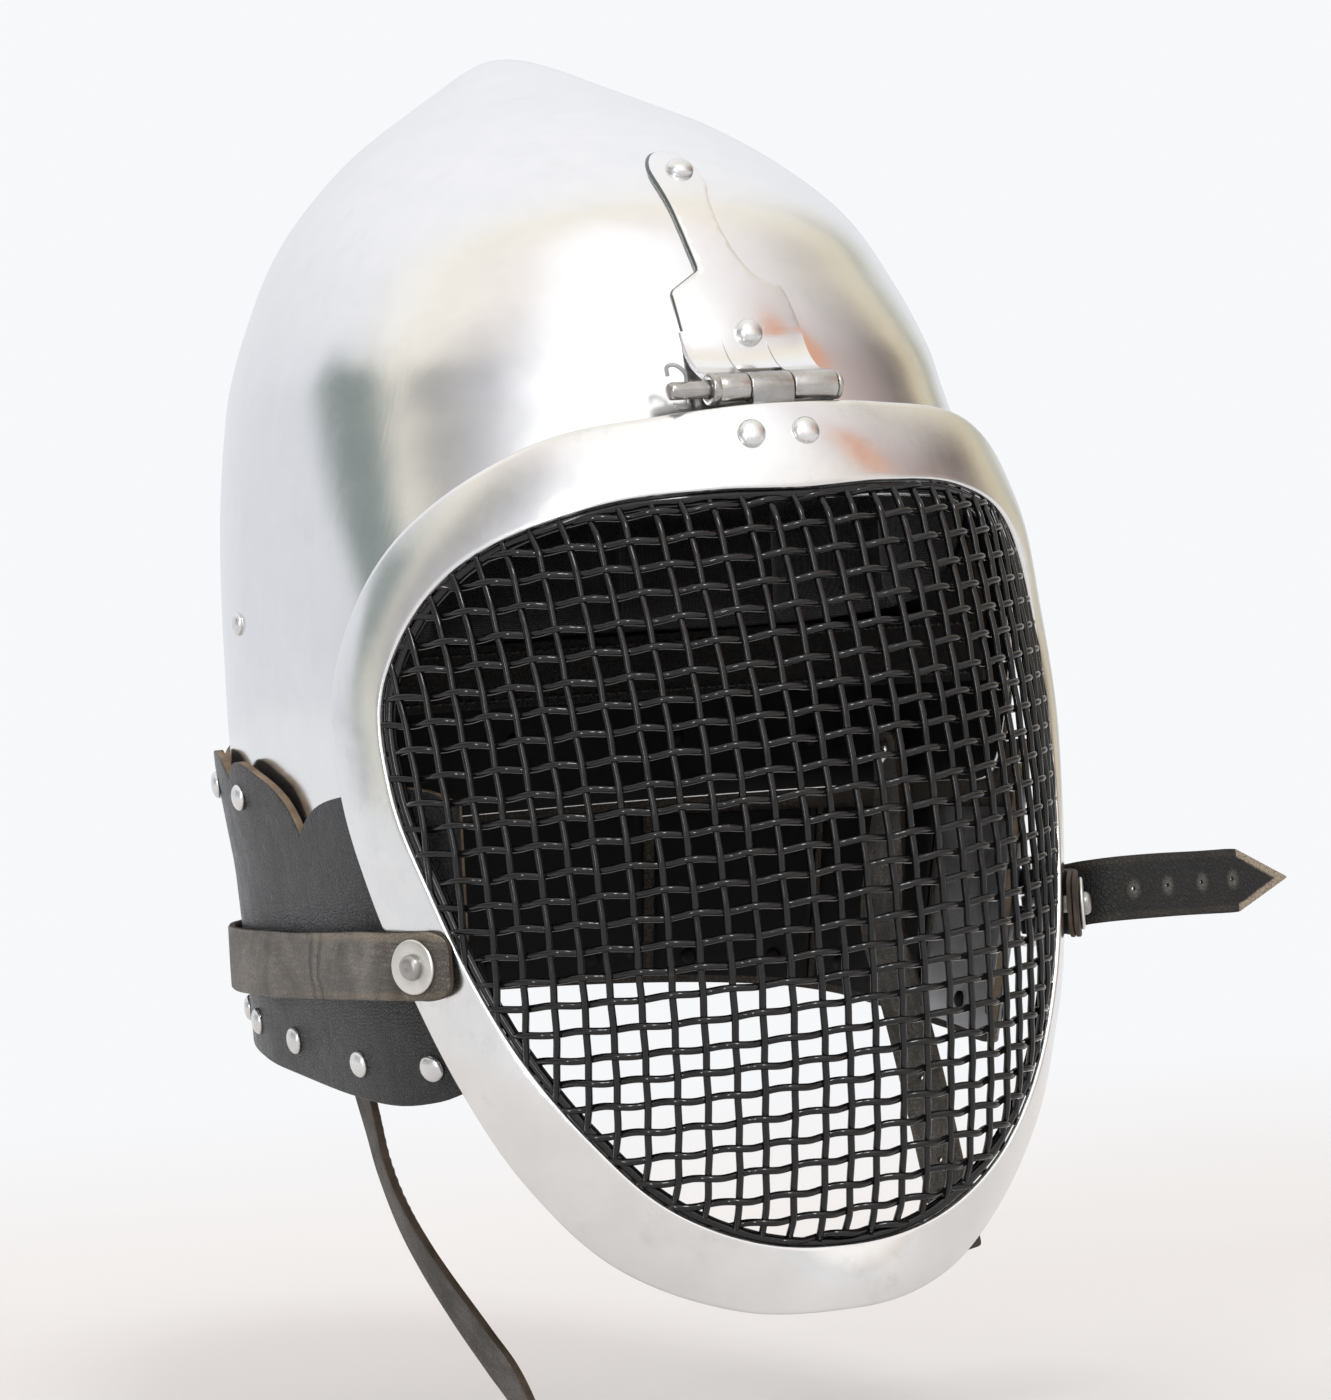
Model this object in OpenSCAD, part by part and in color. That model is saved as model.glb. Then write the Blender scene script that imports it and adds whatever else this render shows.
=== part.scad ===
// Combat helmet: pointed steel skull with a hinged visor of woven wire,
// a leather neck skirt, a closure strap and two chin straps.
// Millimetres, Z up, the face looks along -Y, wearer's left is +X.
// Z = 0 is the plane of the closure strap.

/* [Skull] */
// Wall of the steel skull
skull_t = 2; // [1.2:0.1:3]
// Height of the skull's lower rim at the side
rim_z = 36; // [32:1:40]
// Height of the brow edge above the face
brow_z = 121; // [116:1:123]

/* [Hinge] */
// Height of the hinge pin
hinge_z = 151.8; // [150:0.1:154]
// Distance of the hinge pin in front of the origin
hinge_y = 123.6; // [122:0.1:125]
// Radius of the hinge pin
pin_r = 2.5; // [2:0.1:3]
// Outer radius of the rolled knuckles
knuckle_r = 4.5; // [4:0.1:5]
// Radial play between the pin and each knuckle
pin_play = 0.05; // [0.02:0.01:0.1]

/* [Visor] */
// Sheet of the visor frame
frame_t = 1.8; // [1.2:0.1:2.4]
// Diameter of the mesh wire
wire_d = 2.1; // [1.6:0.1:2.4]
// Pitch of the upright wires along the curve
pitch_x = 8.35; // [7:0.05:10]
// Pitch of the cross wires
pitch_z = 7.25; // [6:0.05:9]
// Radius of the rod around the mesh
rod_r = 1.7; // [1.4:0.1:2]

/* [Leather] */
// Thickness of the neck skirt
skirt_t = 2.6; // [2:0.1:3.2]
// Width of the closure strap
strap_w = 19; // [16:1:22]
// Thickness of the closure strap
strap_t = 2.4; // [2:0.1:3]
// Width of the chin straps
chin_w = 14; // [12:1:18]
// Thickness of the chin straps
chin_t = 2.6; // [2:0.1:3]

/* [Fasteners] */
// Radius of a rivet's domed head
rivet_r = 4; // [3:0.1:5]
// Radius of a rivet's shank
shank_r = 2; // [1.5:0.1:2.5]
// Radius of the strap washers
washer_r = 7.6; // [7:0.1:8.5]

/* [Hidden] */

// ---------- numbers and curves ----------
function lim(x, a, b) = min(max(x, a), b);
function unit(v) = v / max(norm(v), 0.000001);
function seg(t, T, i = 0) = (i >= len(T) - 2 || t < T[i + 1][0]) ? i : seg(t, T, i + 1);
function grad(T, i, c) = let (a = max(i - 1, 0), b = min(i + 1, len(T) - 1))
  (T[b][c] - T[a][c]) / (T[b][0] - T[a][0]);
// smooth curve through a table of rows [key, value, value, ...]
function sm(t, T, c = 1) = let (i = seg(t, T), h = T[i + 1][0] - T[i][0], u = lim((t - T[i][0]) / h, 0, 1),
  a = grad(T, i, c) * h, b = grad(T, i + 1, c) * h)
  (2 * u * u * u - 3 * u * u + 1) * T[i][c] + (u * u * u - 2 * u * u + u) * a
  + (-2 * u * u * u + 3 * u * u) * T[i + 1][c] + (u * u * u - u * u) * b;
// smooth path through points, n steps for each span
function path(P, n) = let (m = len(P)) concat([for (i = [0:m - 2], j = [0:n - 1])
  let (u = j / n, p0 = P[max(i - 1, 0)], p1 = P[i], p2 = P[i + 1], p3 = P[min(i + 2, m - 1)])
    0.5 * (2 * p1 + (p2 - p0) * u + (2 * p0 - 5 * p1 + 4 * p2 - p3) * u * u
      + (3 * p1 - p0 - 3 * p2 + p3) * u * u * u)], [P[m - 1]]);
function tang(P, i) = unit(P[min(i + 1, len(P) - 1)] - P[max(i - 1, 0)]);
function rev(L) = [for (i = [len(L) - 1:-1:0]) L[i]];
function turn(v, a) = [v[0], v[1] * cos(a) - v[2] * sin(a), v[1] * sin(a) + v[2] * cos(a)];

// ---------- the skull's form ----------
// height, half width, front, back, squareness of the front
body_form = [
  [-45, 96.5, -90, 127, 4.2], [0, 100.6, -100, 121.5, 4.4], [60, 106.3, -110, 119, 4.3],
  [90, 107, -114.5, 118.5, 3.75], [112, 106.9, -116.4, 117.6, 2.95], [130, 106.1, -116.3, 116, 2.45],
  [150, 104.1, -114.2, 112.6, 2.15], [166, 101.5, -110.2, 108.4, 2.05], [185, 94.5, -101, 102.4, 2],
  [205, 83.7, -87.4, 95.6, 2], [221, 69.6, -67, 86.4, 2], [235, 53, -41.7, 75.2, 2],
  [246, 35.5, -14, 62, 2], [252, 25.4, 1.6, 54.2, 2], [257, 17, 14, 48.6, 2],
  [260.5, 10, 24, 44.4, 2], [262.4, 4.6, 31.6, 41.2, 2], [263, 0.4, 37.4, 38.4, 2]];
function form(z) = [for (c = [1:4]) sm(lim(z, -60, 263), body_form, c)];
// point on the form at angle a from the front (0 = front, 90 = wearer's left, 180 = back)
function skin_pt(a, z) = let (f = form(z), c = (f[1] + f[2]) / 2, s = sin(a), k = -cos(a),
  F = k < 0 ? c - f[1] : f[2] - c, n = k < 0 ? f[3] : 2,
  r = pow(pow(abs(s) / f[0], n) + pow(abs(k) / F, n), -1 / n))
  [r * s, c + r * k, z];
function skin_n(a, z) = let (zz = lim(z, -59, 262.5),
  u = skin_pt(a + 0.4, zz) - skin_pt(a - 0.4, zz), v = skin_pt(a, zz + 0.4) - skin_pt(a, zz - 0.4))
  unit(cross(u, v));
function off(a, z, d) = skin_pt(a, z) + d * skin_n(a, z);
// front surface as y over x and z
function front_y(x, z) = let (f = form(z), c = (f[1] + f[2]) / 2, n = f[3])
  c - (c - f[1]) * pow(max(1 - pow(abs(x) / f[0], n), 0), 1 / n);

// ---------- meshes ----------
function quads(k, a, b) = [for (j = [0:k - 1]) let (j1 = (j + 1) % k)
  each [[a + j, a + j1, b + j1], [a + j, b + j1, b + j]]];
function tri_vol(P, F) = [for (f = F) P[f[0]] * cross(P[f[1]], P[f[2]])] * [for (f = F) 1];
module closed(P, F) {
  polyhedron(points = P, faces = tri_vol(P, F) > 0 ? [for (f = F) [f[0], f[2], f[1]]] : F, convexity = 10);
}
function fan(a, k) = [for (j = [1:k - 2]) [a, a + j, a + j + 1]];
// solid from rings of equal count; loop joins the last ring to the first
module skin(R, loop = false) {
  k = len(R[0]);
  m = len(R);
  P = [for (r = R) each r];
  S = [for (i = [0:m - (loop ? 1 : 2)]) each quads(k, i * k, ((i + 1) % m) * k)];
  C = loop ? [] : concat([for (f = fan(0, k)) [f[0], f[2], f[1]]], fan((m - 1) * k, k));
  closed(P, concat(S, C));
}
function disc(c, e1, e2, r, n) = [for (j = [0:n - 1]) c + r * (cos(360 * j / n) * e1 + sin(360 * j / n) * e2)];
// wire along a path; side is a direction that is never along the path
module wire(P, r, n, side) {
  skin([for (i = [0:len(P) - 1]) let (t = tang(P, i), a = unit(cross(t, side)), b = cross(t, a)) disc(P[i], a, b, r, n)]);
}
// flat strap along a path: H its widths, th its thickness; its flat face turns from flat0 to flat1
module band(P, H, th, flat0, flat1) {
  skin([for (i = [0:len(P) - 1]) let (k = lim((i / (len(P) - 1) - 0.16) * 3, 0, 1), t = tang(P, i),
    w = unit(cross(flat0 * (1 - k) + flat1 * k, t)), q = unit(cross(t, w)))
    [P[i] + w * H[i] / 2 + q * th / 2, P[i] - w * H[i] / 2 + q * th / 2,
     P[i] - w * H[i] / 2 - q * th / 2, P[i] + w * H[i] / 2 - q * th / 2]]);
}
// upright strap: its width stands along Z, its flat face turns with the path
module upright_band(P, H, th) {
  skin([for (i = [0:len(P) - 1]) let (t = unit([tang(P, i)[0], tang(P, i)[1], 0]), q = [t[1], -t[0], 0])
    [P[i] + [0, 0, H[i] / 2] + q * th / 2, P[i] - [0, 0, H[i] / 2] + q * th / 2,
     P[i] - [0, 0, H[i] / 2] - q * th / 2, P[i] + [0, 0, H[i] / 2] - q * th / 2]]);
}
// stand a shape with its Z along n at point p
module stand(p, n) {
  translate(p) rotate([0, acos(lim(n[2], -1, 1)), atan2(n[1], n[0])]) children();
}
// domed rivet: head above z = 0, shank below
module rivet(r, h, sr, len) {
  R = (r * r + h * h) / (2 * h);
  intersection() {
    translate([0, 0, h - R]) sphere(r = R, $fn = 32);
    cylinder(r = r + 1, h = h + 1, $fn = 32);
  }
  translate([0, 0, -len]) cylinder(r = sr, h = len + 0.2, $fn = 32);
}
module washer(ro, ri, h) {
  difference() {
    cylinder(r = ro, h = h, $fn = 48);
    translate([0, 0, -1]) cylinder(r = ri, h = h + 2, $fn = 32);
  }
}

// ---------- skull ----------
half_angles = [0, 8, 16, 24, 31, 36, 40, 43, 46, 49, 51.5, 53.5, 55.5, 57.5, 60, 64, 69, 75, 82, 90, 98, 106, 114, 122, 130, 138, 146, 154, 162, 171];
around = concat(half_angles, [180], [for (i = [len(half_angles) - 1:-1:1]) 360 - half_angles[i]]);
edge_z = [[0, brow_z], [28, brow_z - 1], [36, 117.5], [42, 112.5], [45.5, 108], [48.3, 103], [50.5, 97], [52.2, 89], [53.6, 74], [55, 56], [57, 43], [60, rim_z + 1], [70, rim_z], [180, rim_z - 4]];
function fold(a) = a > 180 ? 360 - a : a;
levels = [0, 0.06, 0.13, 0.2, 0.27, 0.34, 0.41, 0.48, 0.55, 0.62, 0.68, 0.74, 0.79, 0.84, 0.88, 0.915, 0.945, 0.968, 0.984, 0.994];
module shell(A, top, d_out, d_in, bot, L) {
  k = len(A);
  m = len(L);
  O = [for (s = L) each [for (a = A) let (b = sm(fold(a), bot), z = b + (top - b) * s) off(a, z, d_out)]];
  I = [for (s = L) each [for (a = A) let (b = sm(fold(a), bot), z = b + (top - b) * s) off(a, z, d_in)]];
  n = k * m;
  F = concat(
    [for (i = [0:m - 2]) each quads(k, i * k, (i + 1) * k)],
    [for (i = [0:m - 2]) each [for (f = quads(k, n + i * k, n + (i + 1) * k)) [f[0], f[2], f[1]]]],
    [for (j = [0:k - 1]) let (j1 = (j + 1) % k) each [[j, n + j, n + j1], [j, n + j1, j1]]],
    [for (j = [0:k - 1]) [(m - 1) * k + j, (m - 1) * k + (j + 1) % k, 2 * n]],
    [for (j = [0:k - 1]) [n + (m - 1) * k + (j + 1) % k, n + (m - 1) * k + j, 2 * n + 1]]);
  apex = skin_pt(0, top) * 0.5 + skin_pt(180, top) * 0.5;
  closed(concat(O, I, [apex + [0, 0, max(d_out, 0) + 0.05], apex + [0, 0, d_in]]), F);
}
module skull_shell() {
  color([0.72, 0.72, 0.71]) shell(around, 263, 0, -skull_t, edge_z, levels);
}
side_spots = [[97, 97], [263, 97]];
module side_rivets() {
  color([0.78, 0.78, 0.77]) for (s = side_spots)
    stand(off(s[0], s[1], 0), skin_n(s[0], s[1])) rivet(3.4, 1.8, shank_r, 2.4);
}

// ---------- hinge on the brow ----------
plate_t = 2.1;
plate_outline = [[-9.3, 200.6], [-8.6, 214], [-7.2, 219], [-3.5, 222.5], [1, 223.4], [4.8, 221.6], [6.6, 217.5],
  [6.2, 212.5], [4, 208.5], [2.9, 204], [2.7, 199], [3.9, 193], [6, 188], [8.8, 184.3], [12.4, 182.5],
  [15.6, 181.6], [17.3, 179], [18.2, 171], [18.9, 159.5], [-18, 159.5], [-18.6, 170], [-18.7, 180.3], [-8.6, 186.4]];
module plate_skin() {
  X = [for (x = [-25:3.6:22]) x];
  Z = [for (z = [157:4:229]) z];
  k = len(X);
  function row(z, d) = [for (x = X) let (y = front_y(x, z), e = (front_y(x, z + 1) - front_y(x, z - 1)) / 2,
    g = (front_y(x + 1, z) - front_y(x - 1, z)) / 2, s = sqrt(1 + e * e + g * g)) [x, y - d * s, z]];
  skin([for (z = Z) concat(row(z, 0.12), rev(row(z, 0.12 + plate_t)))]);
}
knuckles = [[-19.6, 11.4], [5.5, 13.5]];
module at_hinge(x0, len) {
  translate([x0, -hinge_y, hinge_z]) rotate([0, 90, 0]) cylinder(r = knuckle_r, h = len, $fn = 48);
}
module hinge_bore() {
  translate([-60, -hinge_y, hinge_z]) rotate([0, 90, 0]) cylinder(r = pin_r + pin_play, h = 120, $fn = 48);
}
module hinge_plate() {
  ys = front_y(0, 161);
  color([0.75, 0.75, 0.74]) difference() {
    union() {
      intersection() {
        plate_skin();
        translate([0, -60, 0]) rotate([90, 0, 0]) linear_extrude(90) polygon(plate_outline);
      }
      for (k = knuckles) {
        at_hinge(k[0], k[1]);
        // web from the plate's foot forward to the knuckle
        translate([k[0], 0, 0]) rotate([90, 0, 90]) linear_extrude(k[1])
          polygon([[ys - 0.75, 163.5], [ys - 2.2, 164], [-hinge_y, hinge_z + knuckle_r],
            [-hinge_y + 1.2, hinge_z + 2.8], [ys - 2.6, 158.3], [ys - 0.5, 160.6]]);
      }
    }
    hinge_bore();
  }
}
plate_spots = [[0.9, 215.7], [0.6, 167.2]];
module plate_rivets() {
  color([0.8, 0.8, 0.79]) for (s = plate_spots) {
    a = atan2(s[0], 110);
    stand(off(a, s[1], plate_t + 0.12), skin_n(a, s[1])) rivet(rivet_r, 2.6, shank_r, plate_t + 2.4);
  }
}
module hinge_pin() {
  color([0.7, 0.69, 0.67]) translate([0, -hinge_y, hinge_z]) rotate([0, 90, 0]) difference() {
    union() {
      translate([0, 0, -30.8]) cylinder(r = pin_r, h = 50.3, $fn = 48);
      translate([0, 0, -31.7]) cylinder(r1 = pin_r - 0.8, r2 = pin_r, h = 0.95, $fn = 48);
      translate([0, 0, 19.3]) cylinder(r = 4.1, h = 1.2, $fn = 48);
      translate([0, 0, 20.45]) cylinder(r1 = 4.1, r2 = 2.6, h = 0.9, $fn = 48);
    }
    translate([0, 0, -26]) rotate([0, 90, 0]) translate([0, 0, -6]) cylinder(r = 0.8, h = 12, $fn = 24);
  }
}
// spring wire through the pin's cross hole, looped over the pin's end
clip_path = [[-26, 0, -3], [-26, 0, 0], [-26, 0, 3], [-26.6, -0.8, 4.6], [-28.2, -1.2, 6.2], [-30.2, -0.8, 7.2],
  [-31.6, 0.2, 6.6], [-31.3, 0.6, 4.2]];
clip_under = [[-26, 0, -3], [-26.6, -0.6, -4.2], [-28.6, -1.4, -4.4], [-31, -1.8, -3.9]];
module pin_clip() {
  color([0.55, 0.55, 0.54]) translate([0, -hinge_y, hinge_z])
    wire(path(concat(rev([for (i = [1:3]) clip_under[i]]), clip_path), 3), 0.6, 8, [0.3, 1, 0.2]);
}

// ---------- leather neck skirt ----------
skirt_gap = 0.1;
// cusps of the scalloped upper edge: angle, height there, extra height of the lobe after it
cusps = [[41.5, 43, 8], [74, 36, 9.5], [99.5, 52.5, 7], [126, 54, 7.5], [153, 56, 8], [180, 57, 8]];
function lobe(a, i = 0) = (i >= len(cusps) - 2 || a < cusps[i + 1][0]) ? i : lobe(a, i + 1);
function skirt_top(a0) = let (a = fold(a0), i = lobe(a), q = lim((a - cusps[i][0]) / (cusps[i + 1][0] - cusps[i][0]), 0, 1))
  cusps[i][1] * (1 - q) + cusps[i + 1][1] * q + cusps[i][2] * (1 - pow(abs(2 * q - 1), 4));
skirt_hem = [[41.5, -36], [45.4, -38.9], [52.6, -40.4], [64, -38.4], [83, -34.3], [95, -31.8], [104, -29.6], [118, -27.2], [135, -25.6], [157, -24.5], [180, -24]];
function skirt_bot(a) = sm(fold(a), skirt_hem);
half_skirt = [for (i = [0:len(cusps) - 2], k = [0:8]) let (u = (1 - cos(180 * k / 9)) / 2)
  cusps[i][0] * (1 - u) + cusps[i + 1][0] * u];
skirt_angles = concat(half_skirt, [180], [for (i = [len(half_skirt) - 1:-1:0]) 360 - half_skirt[i]]);
// the upper edge stands off the steel behind the cheek
function flare(a, z) = 2.3 * lim((fold(a) - 66) / 14, 0, 1) * lim((z - 26) / 30, 0, 1);
module curved_wall(A, d0, d1, rows, lo, hi, k = 0) {
  skin([for (i = [0:len(A) - 1]) let (a = A[i], b = lo[i], t = hi[i])
    concat([for (j = [0:rows]) let (z = b + (t - b) * j / rows) off(a, z, d1 + k * flare(a, z))],
      [for (j = [rows:-1:0]) let (z = b + (t - b) * j / rows) off(a, z, d0 + k * flare(a, z))])]);
}
module neck_skirt() {
  color([0.16, 0.16, 0.17]) curved_wall(skirt_angles, skirt_gap, skirt_gap + skirt_t, 4,
    [for (a = skirt_angles) skirt_bot(a)], [for (a = skirt_angles) skirt_top(a)], 1);
}
plate_spans = [[44, 74], [76, 110], [112, 144], [146, 214], [216, 248], [250, 284], [286, 316]];
module skirt_plates() {
  color([0.5, 0.5, 0.5]) for (s = plate_spans) {
    n = ceil((s[1] - s[0]) / 7);
    A = [for (i = [0:n]) s[0] + (s[1] - s[0]) * i / n];
    curved_wall(A, -1.25, -0.05, 2, [for (a = A) skirt_bot(a) + 2.5], [for (a = A) rim_z - 7.5]);
  }
}
top_spots = [[95.2, 47.2], [113, 50.5], [140, 53], [167, 55], [193, 55], [220, 53], [247, 50.5], [264.8, 47.2]];
module skirt_top_rivets() {
  color([0.8, 0.8, 0.79]) for (s = top_spots)
    stand(off(s[0], s[1], skirt_gap + skirt_t + flare(s[0], s[1]) + 0.02), skin_n(s[0], s[1])) rivet(rivet_r, 2.2, shank_r, skirt_t + 5);
}
low_half = [46.6, 61.3, 84.6, 103.2, 120, 137.5, 155, 172];
low_angles = concat(low_half, [for (a = rev(low_half)) 360 - a]);
module skirt_lower_rivets() {
  color([0.8, 0.8, 0.79]) for (a = low_angles) let (z = skirt_bot(a) + 10 - 1.5 * lim((fold(a) - 104) / 30, 0, 1))
    stand(off(a, z, skirt_gap + skirt_t + 0.02), skin_n(a, z)) rivet(rivet_r, 2.2, shank_r, skirt_t + 2);
}

// ---------- liner ----------
pad_low = [[0, 150], [40, 148], [60, 120], [80, 92], [180, 88]];
pad_angles = [for (a = [0:12:348]) a];
module liner_pads() {
  color([0.1, 0.1, 0.1]) shell(pad_angles, 240, -skull_t - 0.6, -skull_t - 13, pad_low, [0, 0.2, 0.4, 0.6, 0.8, 0.93]);
}
module liner_band() {
  A = [for (a = [60:10:300]) a];
  color([0.14, 0.12, 0.1]) curved_wall(A, -skull_t - 5, -skull_t - 0.6, 1,
    [for (a = A) 66], [for (a = A) let (f = fold(a)) f < 80 ? 90 + (80 - f) : 86.5]);
}

// ---------- visor ----------
mid_z = 20;
// angle from the chin, inner radius, outer radius, y of the outer edge
// wearer's left half; the visor was formed by hand and its halves differ
face_left = [[0, 103.5, 121, -139.5], [15, 103.3, 120.6, -131], [30, 101, 118, -115.5], [45, 97.2, 113.5, -104],
  [60, 94.8, 108.6, -94.7], [75, 95.6, 107.5, -84.2], [90, 100.4, 112.2, -74], [105, 110.7, 122.6, -65.7],
  [120, 122.6, 133.8, -65.4], [135, 126.9, 141.5, -81.3], [150, 118, 140.2, -107.8], [165, 108.3, 131.2, -123],
  [180, 103.6, 127.5, -129.3]];
// wearer's right half
face_right = [[0, 103.5, 121, -139.5], [15, 104.3, 123.5, -131.5], [30, 103.2, 122, -116.5], [45, 98.8, 115.2, -104.5],
  [60, 96.3, 109.3, -95], [75, 96.3, 106, -83], [90, 100, 107.5, -71], [105, 109, 114.3, -61.5],
  [120, 119.6, 126, -61.5], [135, 124, 136.5, -79], [150, 116.8, 137.3, -106.5], [165, 107.8, 129.9, -122.5],
  [180, 103.6, 127.5, -129.3]];
function wrap(T) = concat([[-15, T[1][1], T[1][2], T[1][3]]], T, [[195, T[11][1], T[11][2], T[11][3]]]);
wrapped_left = wrap(face_left);
wrapped_right = wrap(face_right);
function face(p, c) = let (q = p < 0 ? p + 360 : p >= 360 ? p - 360 : p) q > 180 ? sm(360 - q, wrapped_right, c) : sm(q, wrapped_left, c);
function dish(x, z) = -155.5 + 18 * pow((z - mid_z) / 105, 2) + 58 * pow(abs(x) / 98, 2.54);
function inner_pt(p) = let (r = face(p, 1), x = r * sin(p), z = mid_z - r * cos(p)) [x, dish(x, z), z];
function outer_pt(p) = let (r = face(p, 2)) [r * sin(p), face(p, 3), mid_z - r * cos(p)];
function band_n(p) = let (t = outer_pt(p + 1) - outer_pt(p - 1) + inner_pt(p + 1) - inner_pt(p - 1))
  unit(cross(outer_pt(p) - inner_pt(p), t));
function band_pt(p, u, d) = inner_pt(p) * (1 - u) + outer_pt(p) * u + band_n(p) * (d + 4.8 * u * (1 - u));
module visor_frame() {
  color([0.76, 0.76, 0.75]) skin([for (i = [0:71]) let (p = i * 5)
    concat([for (u = [0:0.2:1]) band_pt(p, u, 0)], [for (u = [1:-0.2:0]) band_pt(p, u, -frame_t)])], loop = true);
}
function rod_pt(p) = let (q = band_pt(p, 0, 0), n = band_n(p), s = unit(outer_pt(p) - inner_pt(p)))
  q - n * (frame_t + rod_r + 0.02) - s * 0.6;
module edge_rod() {
  color([0.08, 0.08, 0.08]) skin([for (i = [0:71]) let (p = i * 5, c = rod_pt(p), s = unit(outer_pt(p) - inner_pt(p)))
    disc(c, s, band_n(p), rod_r, 8)], loop = true);
}
// upright wires: equal steps along the arc, leaning a little
lean = tan(2.5);
tilt = tan(0.6);
function arc_table(x = 0, u = 0) = x > 124 ? [[u, x]] :
  concat([[u, x]], arc_table(x + 4, u + norm([4, dish(x + 4, 0) - dish(x, 0)])));
arcs = arc_table();
function x_of(u) = sign(u) * lookup(abs(u), arcs);
function inside(x, z) = let (p = atan2(x, mid_z - z)) norm([x, z - mid_z]) < face(p < 0 ? p + 360 : p, 1) - 0.6;
// furthest point from p0 towards p1 that stays inside the opening
function reach(p0, p1, n = 12) = n == 0 ? p0 : let (m = (p0 + p1) / 2)
  inside(m[0], m[1]) ? reach(m, p1, n - 1) : reach(p0, m, n - 1);
function wire_z(x0, z) = x0 - lean * (z - mid_z);
module mesh_uprights() {
  color([0.09, 0.09, 0.09]) for (k = [-16:16]) {
    x0 = x_of(2.9 + pitch_x * k);
    if (inside(x0 + sign(x0) * 2.2, mid_z + 34)) {
      a = reach([x0, mid_z + 34], [wire_z(x0, 150), 150]);
      b = reach([x0, mid_z + 34], [wire_z(x0, -110), -110]);
      n = 8;
      wire([for (i = [0:n]) let (q = b * (1 - i / n) + a * i / n)
        [q[0], dish(q[0], q[1]) + wire_d / 2 + 0.03 + 1.2, q[1]]], wire_d / 2, 6, [1, 0, 0]);
    }
  }
}
module mesh_crosswires() {
  color([0.09, 0.09, 0.09]) for (k = [-13:16]) {
    z0 = 6 + pitch_z * k;
    if (inside(0, z0)) {
      a = reach([0, z0], [130, z0 + 130 * tilt]);
      b = reach([0, z0], [-130, z0 - 130 * tilt]);
      n = 14;
      wire([for (i = [0:n]) let (u = -cos(180 * i / n), x = u < 0 ? -u * b[0] : u * a[0], z = z0 + x * tilt)
        [x, dish(x, z) - wire_d / 2 + 1.2, z]], wire_d / 2, 6, [0, 0, 1]);
    }
  }
}
// hinge lug: centre knuckle and the tab behind the frame
lug_slope = -20;
module hinge_lug() {
  top = band_pt(180, 1, -frame_t)[1];
  color([0.72, 0.71, 0.69]) difference() {
    union() {
      at_hinge(-7.9, 13.1);
      translate([0, top + 0.75, 147.4]) rotate([lug_slope, 0, 0]) {
        translate([-7.5, 0.1, -6]) cube([12.3, 1.8, 10.4]);
        difference() {
          translate([-18.5, 0, -20]) cube([30, 2, 18.6]);
          for (s = [-1, 1]) translate([-3.5 + s * 15, -1, -1.4]) rotate([0, 45, 0]) cube([5, 8, 5], center = true);
          for (s = [-1, 1]) translate([-3.5 + s * 15, -1, -20]) rotate([0, 45, 0]) cube([7, 8, 7], center = true);
        }
      }
    }
    hinge_bore();
  }
}
module lug_rivets() {
  color([0.8, 0.8, 0.79]) for (p = [177.8, 185.6])
    stand(band_pt(p, 0.63, 0.02), band_n(p)) rivet(rivet_r, 2.4, shank_r, 6.2);
}

// ---------- closure strap and its buckle ----------
strap_turns = [for (a = [280:-10:80]) let (p = off(a, 9.5, skirt_gap + skirt_t + 1.9 + 0.8 * lim((75 - abs(180 - a)) / 40, 0, 1) + strap_t / 2)) [p[0], p[1], -1.5]];
strap_right = [[-96.6, -103.6, 0], [-98.9, -99.4, 0], [-101.2, -94.6, 0], [-103.2, -90, 0], [-105.2, -85, 0], [-106.9, -80, 0], [-107.9, -73, 0], [-108, -64, -0.1], [-107.7, -48, -0.6], [-107.4, -28, -1.1]];
strap_left = [[107.4, -24, -1], [108.4, -36, -0.4], [109.2, -45, 0], [111.4, -53.5, 0], [113.7, -62, 0], [114.8, -69, 0.6], [115, -75, 1.4],
  [116, -81, 2.2], [119.8, -86.2, 2.8], [127, -88.6, 3], [140, -88.8, 2.8], [152, -88.4, 2.4], [163.5, -88, 2.1]];
strap_line = path(concat(strap_right, strap_turns, strap_left), 2);
tip_line = [[167, -87.9, 2], [171, -87.7, 1.9], [175, -87.5, 1.8], [179, -87.3, 1.7], [181.2, -87.2, 1.7]];
strap_mid = concat(strap_line, tip_line);
function end_width(i) = i < 5 ? strap_w * [0.5, 0.76, 0.9, 0.97, 1][i] : i >= len(strap_line) ? strap_w * [0.82, 0.61, 0.39, 0.17, 0.05][i - len(strap_line)] : strap_w;
M_in = [101.6, -89.7, 0];
N_in = unit([0.912, -0.41, 0]);
bar_in = [108.3, -62, 0];
bar_out = [112.5, -44, 0];
module closure_strap() {
  color([0.24, 0.2, 0.17]) difference() {
    upright_band(strap_mid, [for (i = [0:len(strap_mid) - 1]) end_width(i)], strap_t);
    // slot for the prong
    translate([112.6, -57, 0]) rotate([0, 0, -12]) cube([14, 16.4, 3.6], center = true);
    for (x = [127, 138.5, 150, 161.5]) translate([x, -94, 2.6]) rotate([-90, 0, 0]) cylinder(r = 1.1, h = 12, $fn = 24);
  }
}
module mirror_x() { mirror([1, 0, 0]) children(); }
module strap_washer() {
  color([0.74, 0.73, 0.7]) mirror_x() stand(M_in + N_in * (0.15 + strap_t + 0.15), N_in) washer(washer_r, 2.7, 1.2);
}
module strap_rivet() {
  color([0.78, 0.77, 0.74]) mirror_x() stand(M_in + N_in * (0.15 + strap_t + 1.37), N_in) rivet(3.5, 2.2, 2.6, strap_t + 4);
}
tab_t = 3.2;
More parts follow.
